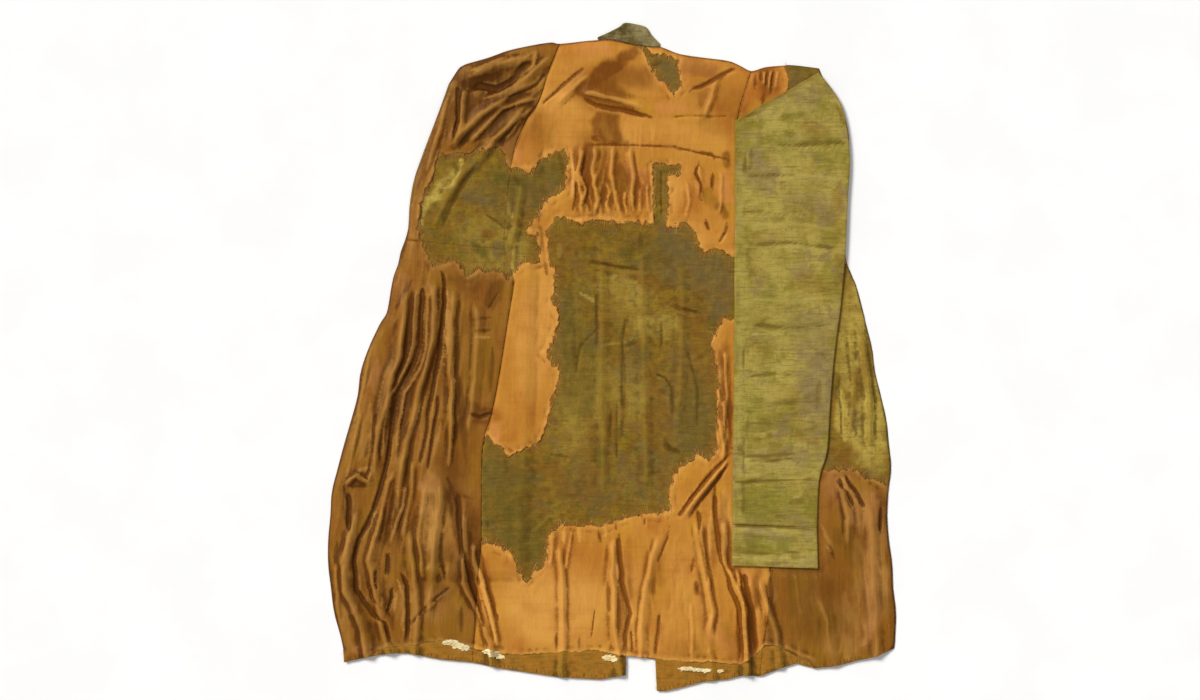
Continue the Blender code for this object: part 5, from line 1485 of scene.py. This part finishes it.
def pressed_tube(name, place, across, along, low, thickness, detail, slot):
    """A tube of cloth pressed flat. place gives x and y for shares across and along it."""
    middle_shares = np.linspace(TUBE_EDGES[-1], 1 - TUBE_EDGES[-1], across)[1:-1]
    shares = np.concatenate([TUBE_EDGES, middle_shares, 1 - TUBE_EDGES[::-1]])
    u, v = np.meshgrid(shares, np.linspace(0, 1, along))
    x, y = place(u, v)
    width = np.hypot(x[:, -1] - x[:, 0], y[:, -1] - y[:, 0])[:, None]
    from_edge = np.minimum(u, 1 - u) * width
    share = np.clip(from_edge / TUBE_ROLL, 0, 1)
    half = 0.5 * thickness * np.sqrt(1 - (1 - share) ** 2)
    middle = low + 0.5 * thickness
    rise = detail(x.ravel(), y.ravel()).reshape(x.shape) * smooth(from_edge / TUBE_EDGE_DETAIL)
    top = np.stack([x, y, middle + half + rise], 2)
    bottom = np.stack([x, y, middle - half], 2)[:, -2:0:-1]
    places = np.concatenate([top, bottom], 1)
    round_count = places.shape[1]
    row, column = np.meshgrid(np.arange(along - 1), np.arange(round_count), indexing="ij")
    following = (column + 1) % round_count
    faces = np.stack([
        row * round_count + column, row * round_count + following,
        (row + 1) * round_count + following, (row + 1) * round_count + column,
    ], 2).reshape(-1, 4)
    places = places.reshape(-1, 3)
    a, b, c = places[faces[across // 2, :3]]
    if np.cross(b - a, c - a)[2] < 0:
        faces = faces[:, ::-1]
    # Values for painted shade where the sleeve's creases sink; none underneath
    looks = {"relief_shading": np.concatenate([-rise, np.zeros(bottom.shape[:2])], 1).ravel()}
    looks.update(zones_of("sleeve", ("grey", "green", "light", "brown", "dark"), places[:, 0], places[:, 1]))
    piece = new_piece(name, places, faces, MATERIALS[slot], looks)
    solid_shell(piece, TUBE_SHELL)
    return piece


def along_line(line, share):
    """x and y at a share of a line's points."""
    at = share * (len(line) - 1)
    return [np.interp(at, np.arange(len(line)), line[:, i]) for i in (0, 1)]


def between_rings(rings):
    """Places across and along a row of rings, through softly bent edges."""
    left, right = (np.array(rounded(side, OUTLINE_STEP)) for side in ring_sides(rings))

    def place(u, v):
        (left_x, left_y), (right_x, right_y) = along_line(left, v), along_line(right, v)
        return left_x + (right_x - left_x) * u, left_y + (right_y - left_y) * u

    return place


def collar_place(u, v):
    """Places across and up the collar."""
    low_edge = rounded([Point(band.x, band.low) for band in COLLAR_BANDS], COLLAR_STEP)
    high_edge = rounded([Point(band.x, band.high) for band in COLLAR_BANDS], COLLAR_STEP)
    x = COLLAR_BANDS[0].x + (COLLAR_BANDS[-1].x - COLLAR_BANDS[0].x) * u
    low, high = y_at(low_edge, x), y_at(high_edge, x)
    return x, low + (high - low) * v


def sleeve_detail(x, y):
    """The puckers and creases of the sleeve that lies on the back."""
    creases = folded(x, y, SLEEVE_CREASES, CREASE_CREST)
    return creases + rippled(x, y, SLEEVE_PUCKERS) + rippled(x, y, SLEEVE_SWELL)


def plain_detail(x, y):
    return rippled(x, y, LINING_SWELL)


def collar_detail(x, y):
    return rippled(x, y, COLLAR_PUCKERS)


def make_tubes():
    """The sleeves' lengths, the cuffs and the collar, with how finely each is divided."""
    over = (OVER_SLEEVE_LOW, SLEEVE_THICKNESS, sleeve_detail, "light_cloth")
    under = (0.0, SLEEVE_THICKNESS - SHELL_LESS, plain_detail, "lining_cloth")
    standing = (0.0, 2 * COLLAR_WALL + COLLAR_HOLLOW, collar_detail, "collar_cloth")
    table = [
        ("sleeve_right_length", "_tube", between_rings(OVER_SLEEVE), 52, 190, over),
        ("sleeve_right_cuff", "_tube", between_rings(OVER_CUFF), 46, 22, over),
        ("sleeve_left_length", "_tube", between_rings(UNDER_SLEEVE), 16, 50, under),
        ("sleeve_left_cuff", "_tube", between_rings(UNDER_CUFF), 16, 8, under),
        ("collar", "_ring", collar_place, 40, 18, standing),
    ]
    return {
        node: pressed_tube(node + ending, place, across, along, *form)
        for node, ending, place, across, along, form in table
    }


class Nodes:
    """Writes a material's node tree."""

    def __init__(self, name):
        self.material = bpy.data.materials.new(name)
        self.material.use_nodes = True
        self.tree = self.material.node_tree
        self.shader = self.tree.nodes["Principled BSDF"]
        self.place = self.tree.nodes.new("ShaderNodeTexCoord").outputs["Object"]

    def value(self, socket, source):
        """Feeds a socket with another socket, a number or a colour."""
        if isinstance(source, bpy.types.NodeSocket):
            self.tree.links.new(source, socket)
        elif isinstance(source, tuple) and len(source) == 3 and socket.type == "RGBA":
            socket.default_value = (*source, 1.0)
        else:
            socket.default_value = source

    def noise(self, scale, detail=3.0, rough=0.5):
        """Noise from 0 to 1, at a scale for each direction, per metre."""
        mapping = self.tree.nodes.new("ShaderNodeMapping")
        mapping.inputs["Scale"].default_value = scale
        self.value(mapping.inputs["Vector"], self.place)
        texture = self.tree.nodes.new("ShaderNodeTexNoise")
        texture.inputs["Scale"].default_value = 1.0
        texture.inputs["Detail"].default_value = detail
        texture.inputs["Roughness"].default_value = rough
        self.value(texture.inputs["Vector"], mapping.outputs["Vector"])
        return texture.outputs["Fac"]

    def math(self, what, a, b):
        node = self.tree.nodes.new("ShaderNodeMath")
        node.operation = what
        self.value(node.inputs[0], a)
        self.value(node.inputs[1], b)
        return node.outputs[0]

    def scaled(self, source, share):
        return self.math("MULTIPLY", source, share)

    def span(self, source, low, high, to_low=0.0, to_high=1.0):
        """A soft step: low and below give to_low, high and above give to_high."""
        node = self.tree.nodes.new("ShaderNodeMapRange")
        node.interpolation_type = "SMOOTHSTEP"
        for socket, value in zip(node.inputs, (source, low, high, to_low, to_high)):
            self.value(socket, value)
        return node.outputs["Result"]

    def attribute(self, name):
        node = self.tree.nodes.new("ShaderNodeAttribute")
        node.attribute_name = name
        return node.outputs["Fac"]

    def mix(self, share, a, b):
        node = self.tree.nodes.new("ShaderNodeMix")
        node.data_type = "RGBA"
        node.clamp_factor = True
        self.value(node.inputs["Factor"], share)
        self.value(node.inputs[6], a)
        self.value(node.inputs[7], b)
        return node.outputs[2]

    def tinted(self, colour, layers):
        """Lays tints over a colour: each row is a source, its span, the tint's most share, and the tint."""
        for source, low, high, most, tint in layers:
            colour = self.mix(self.span(source, low, high, 0.0, most), colour, tint)
        return colour

    def marked(self, colour, kind, tint, uneven, low, high, least, most):
        """Lays a tint where the piece's values of this kind say, unevenly."""
        share = self.math("MULTIPLY", self.attribute(kind), self.span(uneven, low, high, least, most))
        return self.mix(share, colour, tint)

    def bump(self, height, distance, strength):
        node = self.tree.nodes.new("ShaderNodeBump")
        node.inputs["Distance"].default_value = distance
        node.inputs["Strength"].default_value = strength
        self.value(node.inputs["Height"], height)
        self.tree.links.new(node.outputs["Normal"], self.shader.inputs["Normal"])

    def finish(self, colour, roughness, sheen, specular, cover, tint=(1.0, 1.0, 1.0)):
        self.value(self.shader.inputs["Base Color"], colour)
        self.value(self.shader.inputs["Roughness"], roughness)
        self.shader.inputs["Metallic"].default_value = 0.0
        self.shader.inputs["Sheen Weight"].default_value = sheen
        self.shader.inputs["Sheen Roughness"].default_value = 0.4
        self.shader.inputs["Specular IOR Level"].default_value = specular
        self.shader.inputs["Specular Tint"].default_value = (*tint, 1.0)
        self.material.diffuse_color = (*cover, 1.0)
        return self.material


def satin(name, silk, streaks, bars_share):
    """Worn silk satin: stains, streaks along the warp, painted shade in the troughs and painted highlights
    on the ridges.
    """
    nodes = Nodes(name)
    blotch = nodes.noise((9.0, 7.0, 1.0), 5.0, 0.6)
    second = nodes.noise((16.0, 12.0, 3.0), 5.0, 0.65)
    streak = nodes.noise((420.0, 13.0, 1.0), 3.0, 0.55)
    band = nodes.noise((58.0, 4.5, 1.0))
    bars = nodes.noise((6.0, 170.0, 1.0))
    speck = nodes.noise((160.0, 110.0, 1.0), 3.0, 0.6)
    uneven = nodes.noise((34.0, 24.0, 1.0), 5.0, 0.65)
    relief_shading = nodes.attribute("relief_shading")
    colour = nodes.tinted(silk.base, [
        (blotch, 0.35, 0.7, 0.35, silk.light), (second, 0.5, 0.66, 0.75, silk.gold),
        (second, 0.48, 0.34, 0.65, silk.red), (band, 0.4, 0.75, streaks, silk.dark),
    ])
    for kind in ("tan", "pink", "red"):
        colour = nodes.marked(colour, kind, getattr(silk, kind), uneven, 0.25, 0.6, 0.6, 1.2)
    # light and dark hold lighter and darker tones, painted highlights on fold crests and painted shade in
    # troughs
    colour = nodes.marked(colour, "light", silk.light, uneven, 0.3, 0.65, 0.6, 1.2)
    colour = nodes.marked(colour, "dark", silk.dark, uneven, 0.3, 0.6, 0.85, 1.1)
    # Painted shade in the troughs and painted highlights on the ridges, then the weave's streaks and bars,
    # and small specks
    colour = nodes.tinted(colour, [
        (relief_shading, 0.05, 1.1, 0.85, silk.dark), (relief_shading, -0.1, -1.4, 0.5, silk.light),
        (streak, 0.35, 0.8, streaks, silk.dark), (bars, 0.5, 0.78, bars_share, silk.dark),
        (speck, 0.62, 0.85, 0.25, silk.light),
    ])
    colour = nodes.marked(colour, "edge", silk.light, uneven, 0.35, 0.6, 0.25, 1.0)
    warp, weft = nodes.noise((2200.0, 90.0, 1.0), 1.0), nodes.noise((90.0, 1500.0, 1.0), 1.0)
    threads = nodes.math("ADD", nodes.scaled(warp, 0.7), nodes.scaled(weft, 0.3))
    creases = nodes.noise((95.0, 24.0, 1.0), 4.0, 0.6)
    nodes.bump(nodes.math("ADD", nodes.scaled(threads, 0.12), creases), 0.0014, 0.9)
    roughness = nodes.span(uneven, 0.2, 0.8, 0.42, 0.56)
    return nodes.finish(colour, roughness, 0.0, 0.24, silk.base, (1.0, 0.64, 0.3))


def coarse_cloth(name, base, kinds, low, high, tints, ribs):
    """Coarse backing cloth: stains in several colours, slubs across it and puckers, with painted shade in
    the troughs and painted highlights on the ridges; some of the kinds given are painted shade or highlights
    too.
    """
    nodes = Nodes(name)
    wide = nodes.noise((11.0, 9.0, 1.0), 6.0, 0.65)
    fine = nodes.noise((70.0, 95.0, 1.0), 5.0, 0.65)
    slubs = nodes.noise((26.0, 240.0, 1.0), 4.0, 0.6)
    upright = nodes.noise((260.0, 30.0, 1.0), 3.0, 0.6)
    uneven = nodes.noise((34.0, 30.0, 1.0), 5.0, 0.65)
    relief_shading = nodes.attribute("relief_shading")
    colour = nodes.tinted(base, [(wide, 0.35, 0.62, 0.8, high), (wide, 0.5, 0.3, 0.7, low)])
    for i, tint in enumerate(tints):
        patches = nodes.noise((24.0 + 5.0 * i, 20.0 + 9.0 * i, 7.0 + i), 5.0, 0.7)
        colour = nodes.tinted(colour, [(patches, 0.49, 0.62, 0.75, tint)])
    # Among the kinds given, edge is a painted shadow beside the silk's torn edges, dark is mostly painted
    # shade in creases, and light is partly painted highlights on ridges
    for kind, tint in kinds.items():
        colour = nodes.marked(colour, kind, tint, uneven, 0.3, 0.6, 0.35, 1.1)
    # Fine mottling and slubs, then painted shade in the troughs and painted highlights on the ridges
    colour = nodes.tinted(colour, [
        (fine, 0.45, 0.75, 0.4, low), (fine, 0.46, 0.25, 0.3, high),
        (slubs, 0.48, 0.8, ribs, low), (slubs, 0.45, 0.2, ribs, high),
        (upright, 0.5, 0.8, 0.3, low), (relief_shading, 0.05, 1.2, 0.75, low), (relief_shading, -0.1, -1.2, 0.4, high),
    ])
    across, along = nodes.noise((120.0, 1300.0, 1.0), 1.0), nodes.noise((1300.0, 120.0, 1.0), 1.0)
    threads = nodes.math("ADD", across, along)
    rough_face = nodes.math("ADD", nodes.scaled(threads, 0.25), nodes.scaled(slubs, 0.6))
    nodes.bump(nodes.math("ADD", rough_face, nodes.scaled(fine, 0.8)), 0.0016, 0.9)
    return nodes.finish(colour, nodes.span(fine, 0.3, 0.7, 0.78, 0.92), 0.0, 0.15, base)


def strand_look(name, base, other, twisted=0.35):
    """Loose threads and padding, in two shades."""
    nodes = Nodes(name)
    shade = nodes.noise((70.0, 70.0, 20.0), 3.0, 0.6)
    twist = nodes.noise((900.0, 900.0, 300.0), 2.0, 0.6)
    darker = tuple(0.5 * part for part in base)
    colour = nodes.tinted(base, [(shade, 0.35, 0.65, 1.0, other), (twist, 0.5, 0.8, twisted, darker)])
    nodes.bump(twist, 0.0003, 0.6)
    return nodes.finish(colour, nodes.span(shade, 0.3, 0.7, 0.6, 0.8), 0.15, 0.3, base)


ORANGE = Silk(
    base=(0.45, 0.178, 0.020), dark=(0.165, 0.046, 0.003), light=(0.66, 0.31, 0.062),
    red=(0.40, 0.125, 0.016), gold=(0.50, 0.235, 0.020), pink=(0.56, 0.215, 0.052), tan=(0.27, 0.118, 0.007),
)
BROWN = Silk(
    base=(0.235, 0.086, 0.007), dark=(0.068, 0.019, 0.0015), light=(0.42, 0.20, 0.042),
    red=(0.20, 0.058, 0.006), gold=(0.27, 0.125, 0.007), pink=(0.38, 0.155, 0.045), tan=(0.25, 0.112, 0.008),
)
OLIVE = (0.18, 0.098, 0.006)
OLIVE_LOW = (0.09, 0.046, 0.003)
OLIVE_HIGH = (0.27, 0.165, 0.018)
LOSS_YELLOW = (0.48, 0.345, 0.062)
CLOTH_GOLD = (0.26, 0.16, 0.006)
CLOTH_GREY = (0.150, 0.100, 0.030)
CLOTH_BROWN = (0.205, 0.092, 0.009)
CLOTH_GREEN = (0.118, 0.086, 0.010)
HEM_BROWN = (0.36, 0.150, 0.014)
SLEEVE = (0.285, 0.198, 0.028)
SLEEVE_LOW = (0.14, 0.085, 0.009)
SLEEVE_HIGH = (0.43, 0.33, 0.072)
SLEEVE_GREY = (0.245, 0.170, 0.065)
SLEEVE_BROWN = (0.26, 0.145, 0.018)
SLEEVE_GREEN = (0.225, 0.19, 0.02)
COLLAR = (0.127, 0.091, 0.022)
COLLAR_LOW = (0.045, 0.027, 0.004)
COLLAR_HIGH = (0.34, 0.27, 0.12)
CREAM = (1.0, 0.90, 0.56)
CREAM_LOW = (0.95, 0.72, 0.33)
PAPER = (0.88, 0.875, 0.86)
PAPER_HIGH = (0.92, 0.915, 0.90)
# edge is a painted shadow of the silk's torn edges on the cloth, dark is mostly painted shade in the cloth's
# creases, and yellow is partly painted highlights on a few ridges
CLOTH_KINDS = {
    "yellow": LOSS_YELLOW, "grey": CLOTH_GREY, "brown": CLOTH_BROWN, "green": CLOTH_GREEN,
    "edge": CLOTH_BROWN, "hem": HEM_BROWN, "dark": OLIVE_LOW,
}
CLOTH_TINTS = (CLOTH_GREY, CLOTH_GREEN, CLOTH_BROWN, CLOTH_GOLD, CLOTH_BROWN)
# dark is mostly painted shade in the sleeve's creases and along its top edge, and light is partly painted
# highlights on its ridges
SLEEVE_KINDS = {
    "grey": SLEEVE_GREY, "green": SLEEVE_GREEN, "brown": SLEEVE_BROWN, "light": SLEEVE_HIGH,
    "dark": SLEEVE_LOW,
}

MATERIALS = {
    "orange_silk": satin("orange_satin", ORANGE, 0.06, 0.12),
    "brown_silk": satin("brown_satin", BROWN, 0.22, 0.08),
    "olive_cloth": coarse_cloth(
        "olive_backing", OLIVE, CLOTH_KINDS, OLIVE_LOW, OLIVE_HIGH, CLOTH_TINTS, 0.45),
    "light_cloth": coarse_cloth(
        "sleeve_cotton", SLEEVE, SLEEVE_KINDS, SLEEVE_LOW, SLEEVE_HIGH, (SLEEVE_GREY, SLEEVE_GREEN), 0.7),
    "collar_cloth": coarse_cloth("collar_cotton", COLLAR, {}, COLLAR_LOW, COLLAR_HIGH, (CLOTH_GREEN,), 0.8),
    "lining_cloth": coarse_cloth("lining_cotton", OLIVE_HIGH, {}, OLIVE, SLEEVE_HIGH, (SLEEVE_GREEN,), 0.3),
}
THREAD_LOOKS = {
    "orange": strand_look("orange_threads", ORANGE.light, ORANGE.red),
    "brown": strand_look("brown_threads", BROWN.light, BROWN.red),
    "cream": strand_look("cream_threads", CREAM, CREAM_LOW, 0.05),
    "stitch": strand_look("hem_threads", BROWN.dark, BROWN.red),
}


def tubes(paths, radii):
    """Places and corners of thin threads, each a row of three-sided rings that ends thin."""
    count, length = paths.shape[:2]
    along = np.gradient(paths, axis=1)
    along /= np.maximum(np.linalg.norm(along, axis=2, keepdims=True), 1e-9)
    side = np.stack([-along[..., 1], along[..., 0], np.zeros((count, length))], 2)
    side /= np.maximum(np.linalg.norm(side, axis=2, keepdims=True), 1e-9)
    up = np.cross(along, side)
    taper = np.interp(np.arange(length), [0, length - 2, length - 1], [1.0, 0.8, 0.25])
    reach = radii[:, None, None] * taper[None, :, None]
    turns = [2 * math.pi * i / 3 for i in range(3)]
    rings = [paths + reach * (math.cos(turn) * side + math.sin(turn) * up) for turn in turns]
    places = np.stack(rings, 2).reshape(-1, 3)
    path, step, corner = np.meshgrid(np.arange(count), np.arange(length - 1), np.arange(3), indexing="ij")
    first = (path * length + step) * 3
    following = (corner + 1) % 3
    faces = np.stack([first + corner, first + following, first + 3 + following, first + 3 + corner], 3)
    return places, faces.reshape(-1, 4)


def thread_piece(name, paths, radii, look):
    places, faces = tubes(paths, radii)
    return new_piece(name, places, faces, THREAD_LOOKS[look])


def on_surface(x, y):
    """The height of what is on top at each place: silk where it is whole, and cloth elsewhere."""
    flat_x, flat_y = x.ravel(), y.ravel()
    gap = tear_distance(flat_x, flat_y)
    height = np.where(gap > 0, silk_height(flat_x, flat_y, gap), cloth_height(flat_x, flat_y, gap))
    return height.reshape(x.shape)


def frays(loop, seed, among):
    """Threads that stick out of a torn edge into the gap, mostly along the warp."""
    rng = np.random.default_rng(seed)
    edge = np.array(divided(loop, FRAY_SPACING, ring=True), float)
    edge = edge[rng.random(len(edge)) < 0.8]
    edge = edge[among(edge[:, 0], edge[:, 1])]
    inward = np.zeros_like(edge)
    for angle in np.linspace(0, 2 * math.pi, 12, endpoint=False):
        step = np.array([math.cos(angle), math.sin(angle)])
        probe = edge + 5.0 * step
        inward += np.where(inside(probe[:, 0], probe[:, 1], loop), 1.0, -1.0)[:, None] * step
    inward /= np.maximum(np.linalg.norm(inward, axis=1, keepdims=True), 1e-9)
    count = len(edge)
    sideways = 0.25 * rng.normal(size=count)
    up_or_down = np.sign(inward[:, 1] + 0.2 * rng.normal(size=count))
    upright = np.stack([sideways, up_or_down], 1)
    heading = 0.55 * inward + 0.75 * upright
    heading /= np.linalg.norm(heading, axis=1, keepdims=True)
    length = rng.uniform(*FRAY_LENGTHS, count) * rng.uniform(0.5, 1.0, count)
    bend = rng.normal(size=count) * 0.35
    share = np.linspace(0, 1, 6)[None, :]
    across = np.stack([-heading[:, 1], heading[:, 0]], 1)
    start = edge - 1.5 * inward
    flat = start[:, None] + heading[:, None] * (share * length[:, None])[..., None]
    flat = flat + across[:, None] * (bend[:, None] * length[:, None] * share ** 2)[..., None]
    level = on_surface(flat[..., 0], flat[..., 1])
    level = level + 0.15 + 1.1 * np.sin(math.pi * share) * rng.random(count)[:, None]
    return np.concatenate([flat, level[..., None]], 2)


def frayed_places(tone, rip, x, y):
    """Where a rip's edge frays in silk of one tone: on its panels, away from the sides and the sleeve."""
    masks = panel_masks(x, y)
    found = np.zeros(len(x), bool)
    for panel, slot in SILK_OF_PANEL.items():
        if slot.startswith(tone) and rip in RIPS_OF_PANEL[panel]:
            found |= masks[panel]
    clear = gap_to(x, y, SIDES) > 6.0
    return found & clear & (pressed_at(x, y) > 0.5) & inside(x, y, SHEET_OUTLINE)


def make_frays():
    """Loose silk along the torn edges: orange on the back, brown on the gores and sleeve head."""
    for tone in ("orange", "brown"):
        found = [
            frays(loop, 200 + i, lambda x, y, rip=rip: frayed_places(tone, rip, x, y))
            for i, (rip, loop) in enumerate(TORN.items())
        ]
        paths = np.concatenate(found)
        radii = np.random.default_rng(7).uniform(*FRAY_RADII, len(paths))
        thread_piece("torn_" + tone + "_threads", paths, radii, tone)


def make_hem_stitches():
    """The row of small upright stitches along the hem's lower edge, on both sides of the vent."""
    rng = np.random.default_rng(31)
    parts = [[point for point in HEM_LINE if point.x < 27], [point for point in HEM_LINE if point.x > 83]]
    foot = np.concatenate([np.array(divided(part, STITCH_SPACING), float) for part in parts])
    foot = foot[rng.random(len(foot)) < 0.85]
    count = len(foot)
    share = np.linspace(0, 1, 4)[None, :]
    height = rng.uniform(*STITCH_HEIGHTS, count)
    shift = 1.2 * rng.normal(size=count)[:, None]
    slant = 0.9 * rng.normal(size=count)[:, None]
    x = foot[:, 0, None] + shift + slant * share
    y = foot[:, 1, None] + 2.5 + height[:, None] * share
    level = on_surface(x, y) + 0.1 + 0.35 * np.sin(math.pi * share)
    radii = rng.uniform(*STITCH_RADII, count)
    thread_piece("hem_stitches", np.stack([x, y, level], 2), radii, "stitch")


def make_wadding():
    """Cream padding that shows through the torn hem, as clumps of short fibres."""
    rng = np.random.default_rng(41)
    found = []
    for clump in WADDING:
        fibres = clump.fibres
        turn = rng.uniform(0, 2 * math.pi, fibres)
        reach = np.sqrt(rng.random(fibres))
        at_x = clump.x + clump.half_x * reach * np.cos(turn)
        at_y = clump.y + clump.half_y * reach * np.sin(turn)
        heading = rng.uniform(-0.7, 0.7, fibres)
        length = rng.uniform(*FIBRE_LENGTHS, fibres)
        share = np.linspace(-0.5, 0.5, 5)[None, :]
        x = at_x[:, None] + np.cos(heading)[:, None] * length[:, None] * share
        y = at_y[:, None] + np.sin(heading)[:, None] * length[:, None] * share
        y = y + rng.normal(size=fibres)[:, None] * 1.5 * (0.25 - share ** 2)
        level = on_surface(x, y) + rng.uniform(0.4, 1.6, fibres)[:, None]
        found.append(np.stack([x, y, level], 2))
    paths = np.concatenate(found)
    thread_piece("hem_wadding", paths, rng.uniform(*FIBRE_RADII, len(paths)), "cream")


# Suns: name, strength, compass direction seen from above with 0 to the right, elevation, and angle
LIGHTS = rows(Light, [("key_sun", 3.12, 140, 45, 22), ("fill_sun", 0.4, 315, 62, 60)])


def make_sheets_of_cloth():
    """Every piece of cloth, for its solid, with its cut."""
    sheets = {**make_silk(), **make_cloth(), **make_fronts(), **make_tubes()}
    for node, piece in sheets.items():
        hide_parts(node)


def make_floor():
    """A plain pale table, wide enough to fill the view."""
    mesh = bpy.data.meshes.new("table_top")
    signs = [(-1, -1), (1, -1), (1, 1), (-1, 1)]
    corners = [(x * FLOOR_HALF, y * FLOOR_HALF, FLOOR_Z) for x, y in signs]
    mesh.from_pydata(corners, [], [(0, 1, 2, 3)])
    nodes = Nodes("pale_paper")
    grain = nodes.noise((6.0, 6.0, 1.0), 4.0)
    colour = nodes.tinted(PAPER, [(grain, 0.3, 0.7, 1.0, PAPER_HIGH)])
    mesh.materials.append(nodes.finish(colour, 0.9, 0.0, 0.1, (0.9, 0.9, 0.88)))
    floor = bpy.data.objects.new("table_top", mesh)
    bpy.context.scene.collection.objects.link(floor)


def make_light(light):
    """A sun that shines from its direction."""
    sun = bpy.data.lights.new(light.name, "SUN")
    sun.energy = light.strength
    sun.angle = math.radians(light.angle)
    lamp = bpy.data.objects.new(light.name, sun)
    turn, rise = math.radians(light.azimuth), math.radians(light.elevation)
    toward = Vector((math.cos(rise) * math.cos(turn), math.cos(rise) * math.sin(turn), math.sin(rise)))
    lamp.rotation_euler = toward.to_track_quat("Z", "Y").to_euler()
    lamp.location = toward * LAMP_DISTANCE
    bpy.context.scene.collection.objects.link(lamp)


def make_camera():
    """Straight above the garment, with the collar up, as the photo was taken."""
    data = bpy.data.cameras.new("camera")
    data.type = "PERSP"
    data.lens = LENS
    data.sensor_width = SENSOR
    data.dof.use_dof = False
    camera = bpy.data.objects.new("camera", data)
    camera.location = CAMERA_PLACE
    bpy.context.scene.collection.objects.link(camera)
    bpy.context.scene.camera = camera


def make_world():
    """A soft white room."""
    world = bpy.data.worlds.new("soft_room")
    world.use_nodes = True
    background = world.node_tree.nodes["Background"]
    background.inputs["Color"].default_value = (1.0, 1.0, 1.0, 1.0)
    background.inputs["Strength"].default_value = WORLD_STRENGTH
    bpy.context.scene.world = world
    bpy.context.scene.view_settings.view_transform = "Standard"


make_sheets_of_cloth()
make_frays()
make_hem_stitches()
make_wadding()
make_floor()
for light in LIGHTS:
    make_light(light)
make_camera()
make_world()
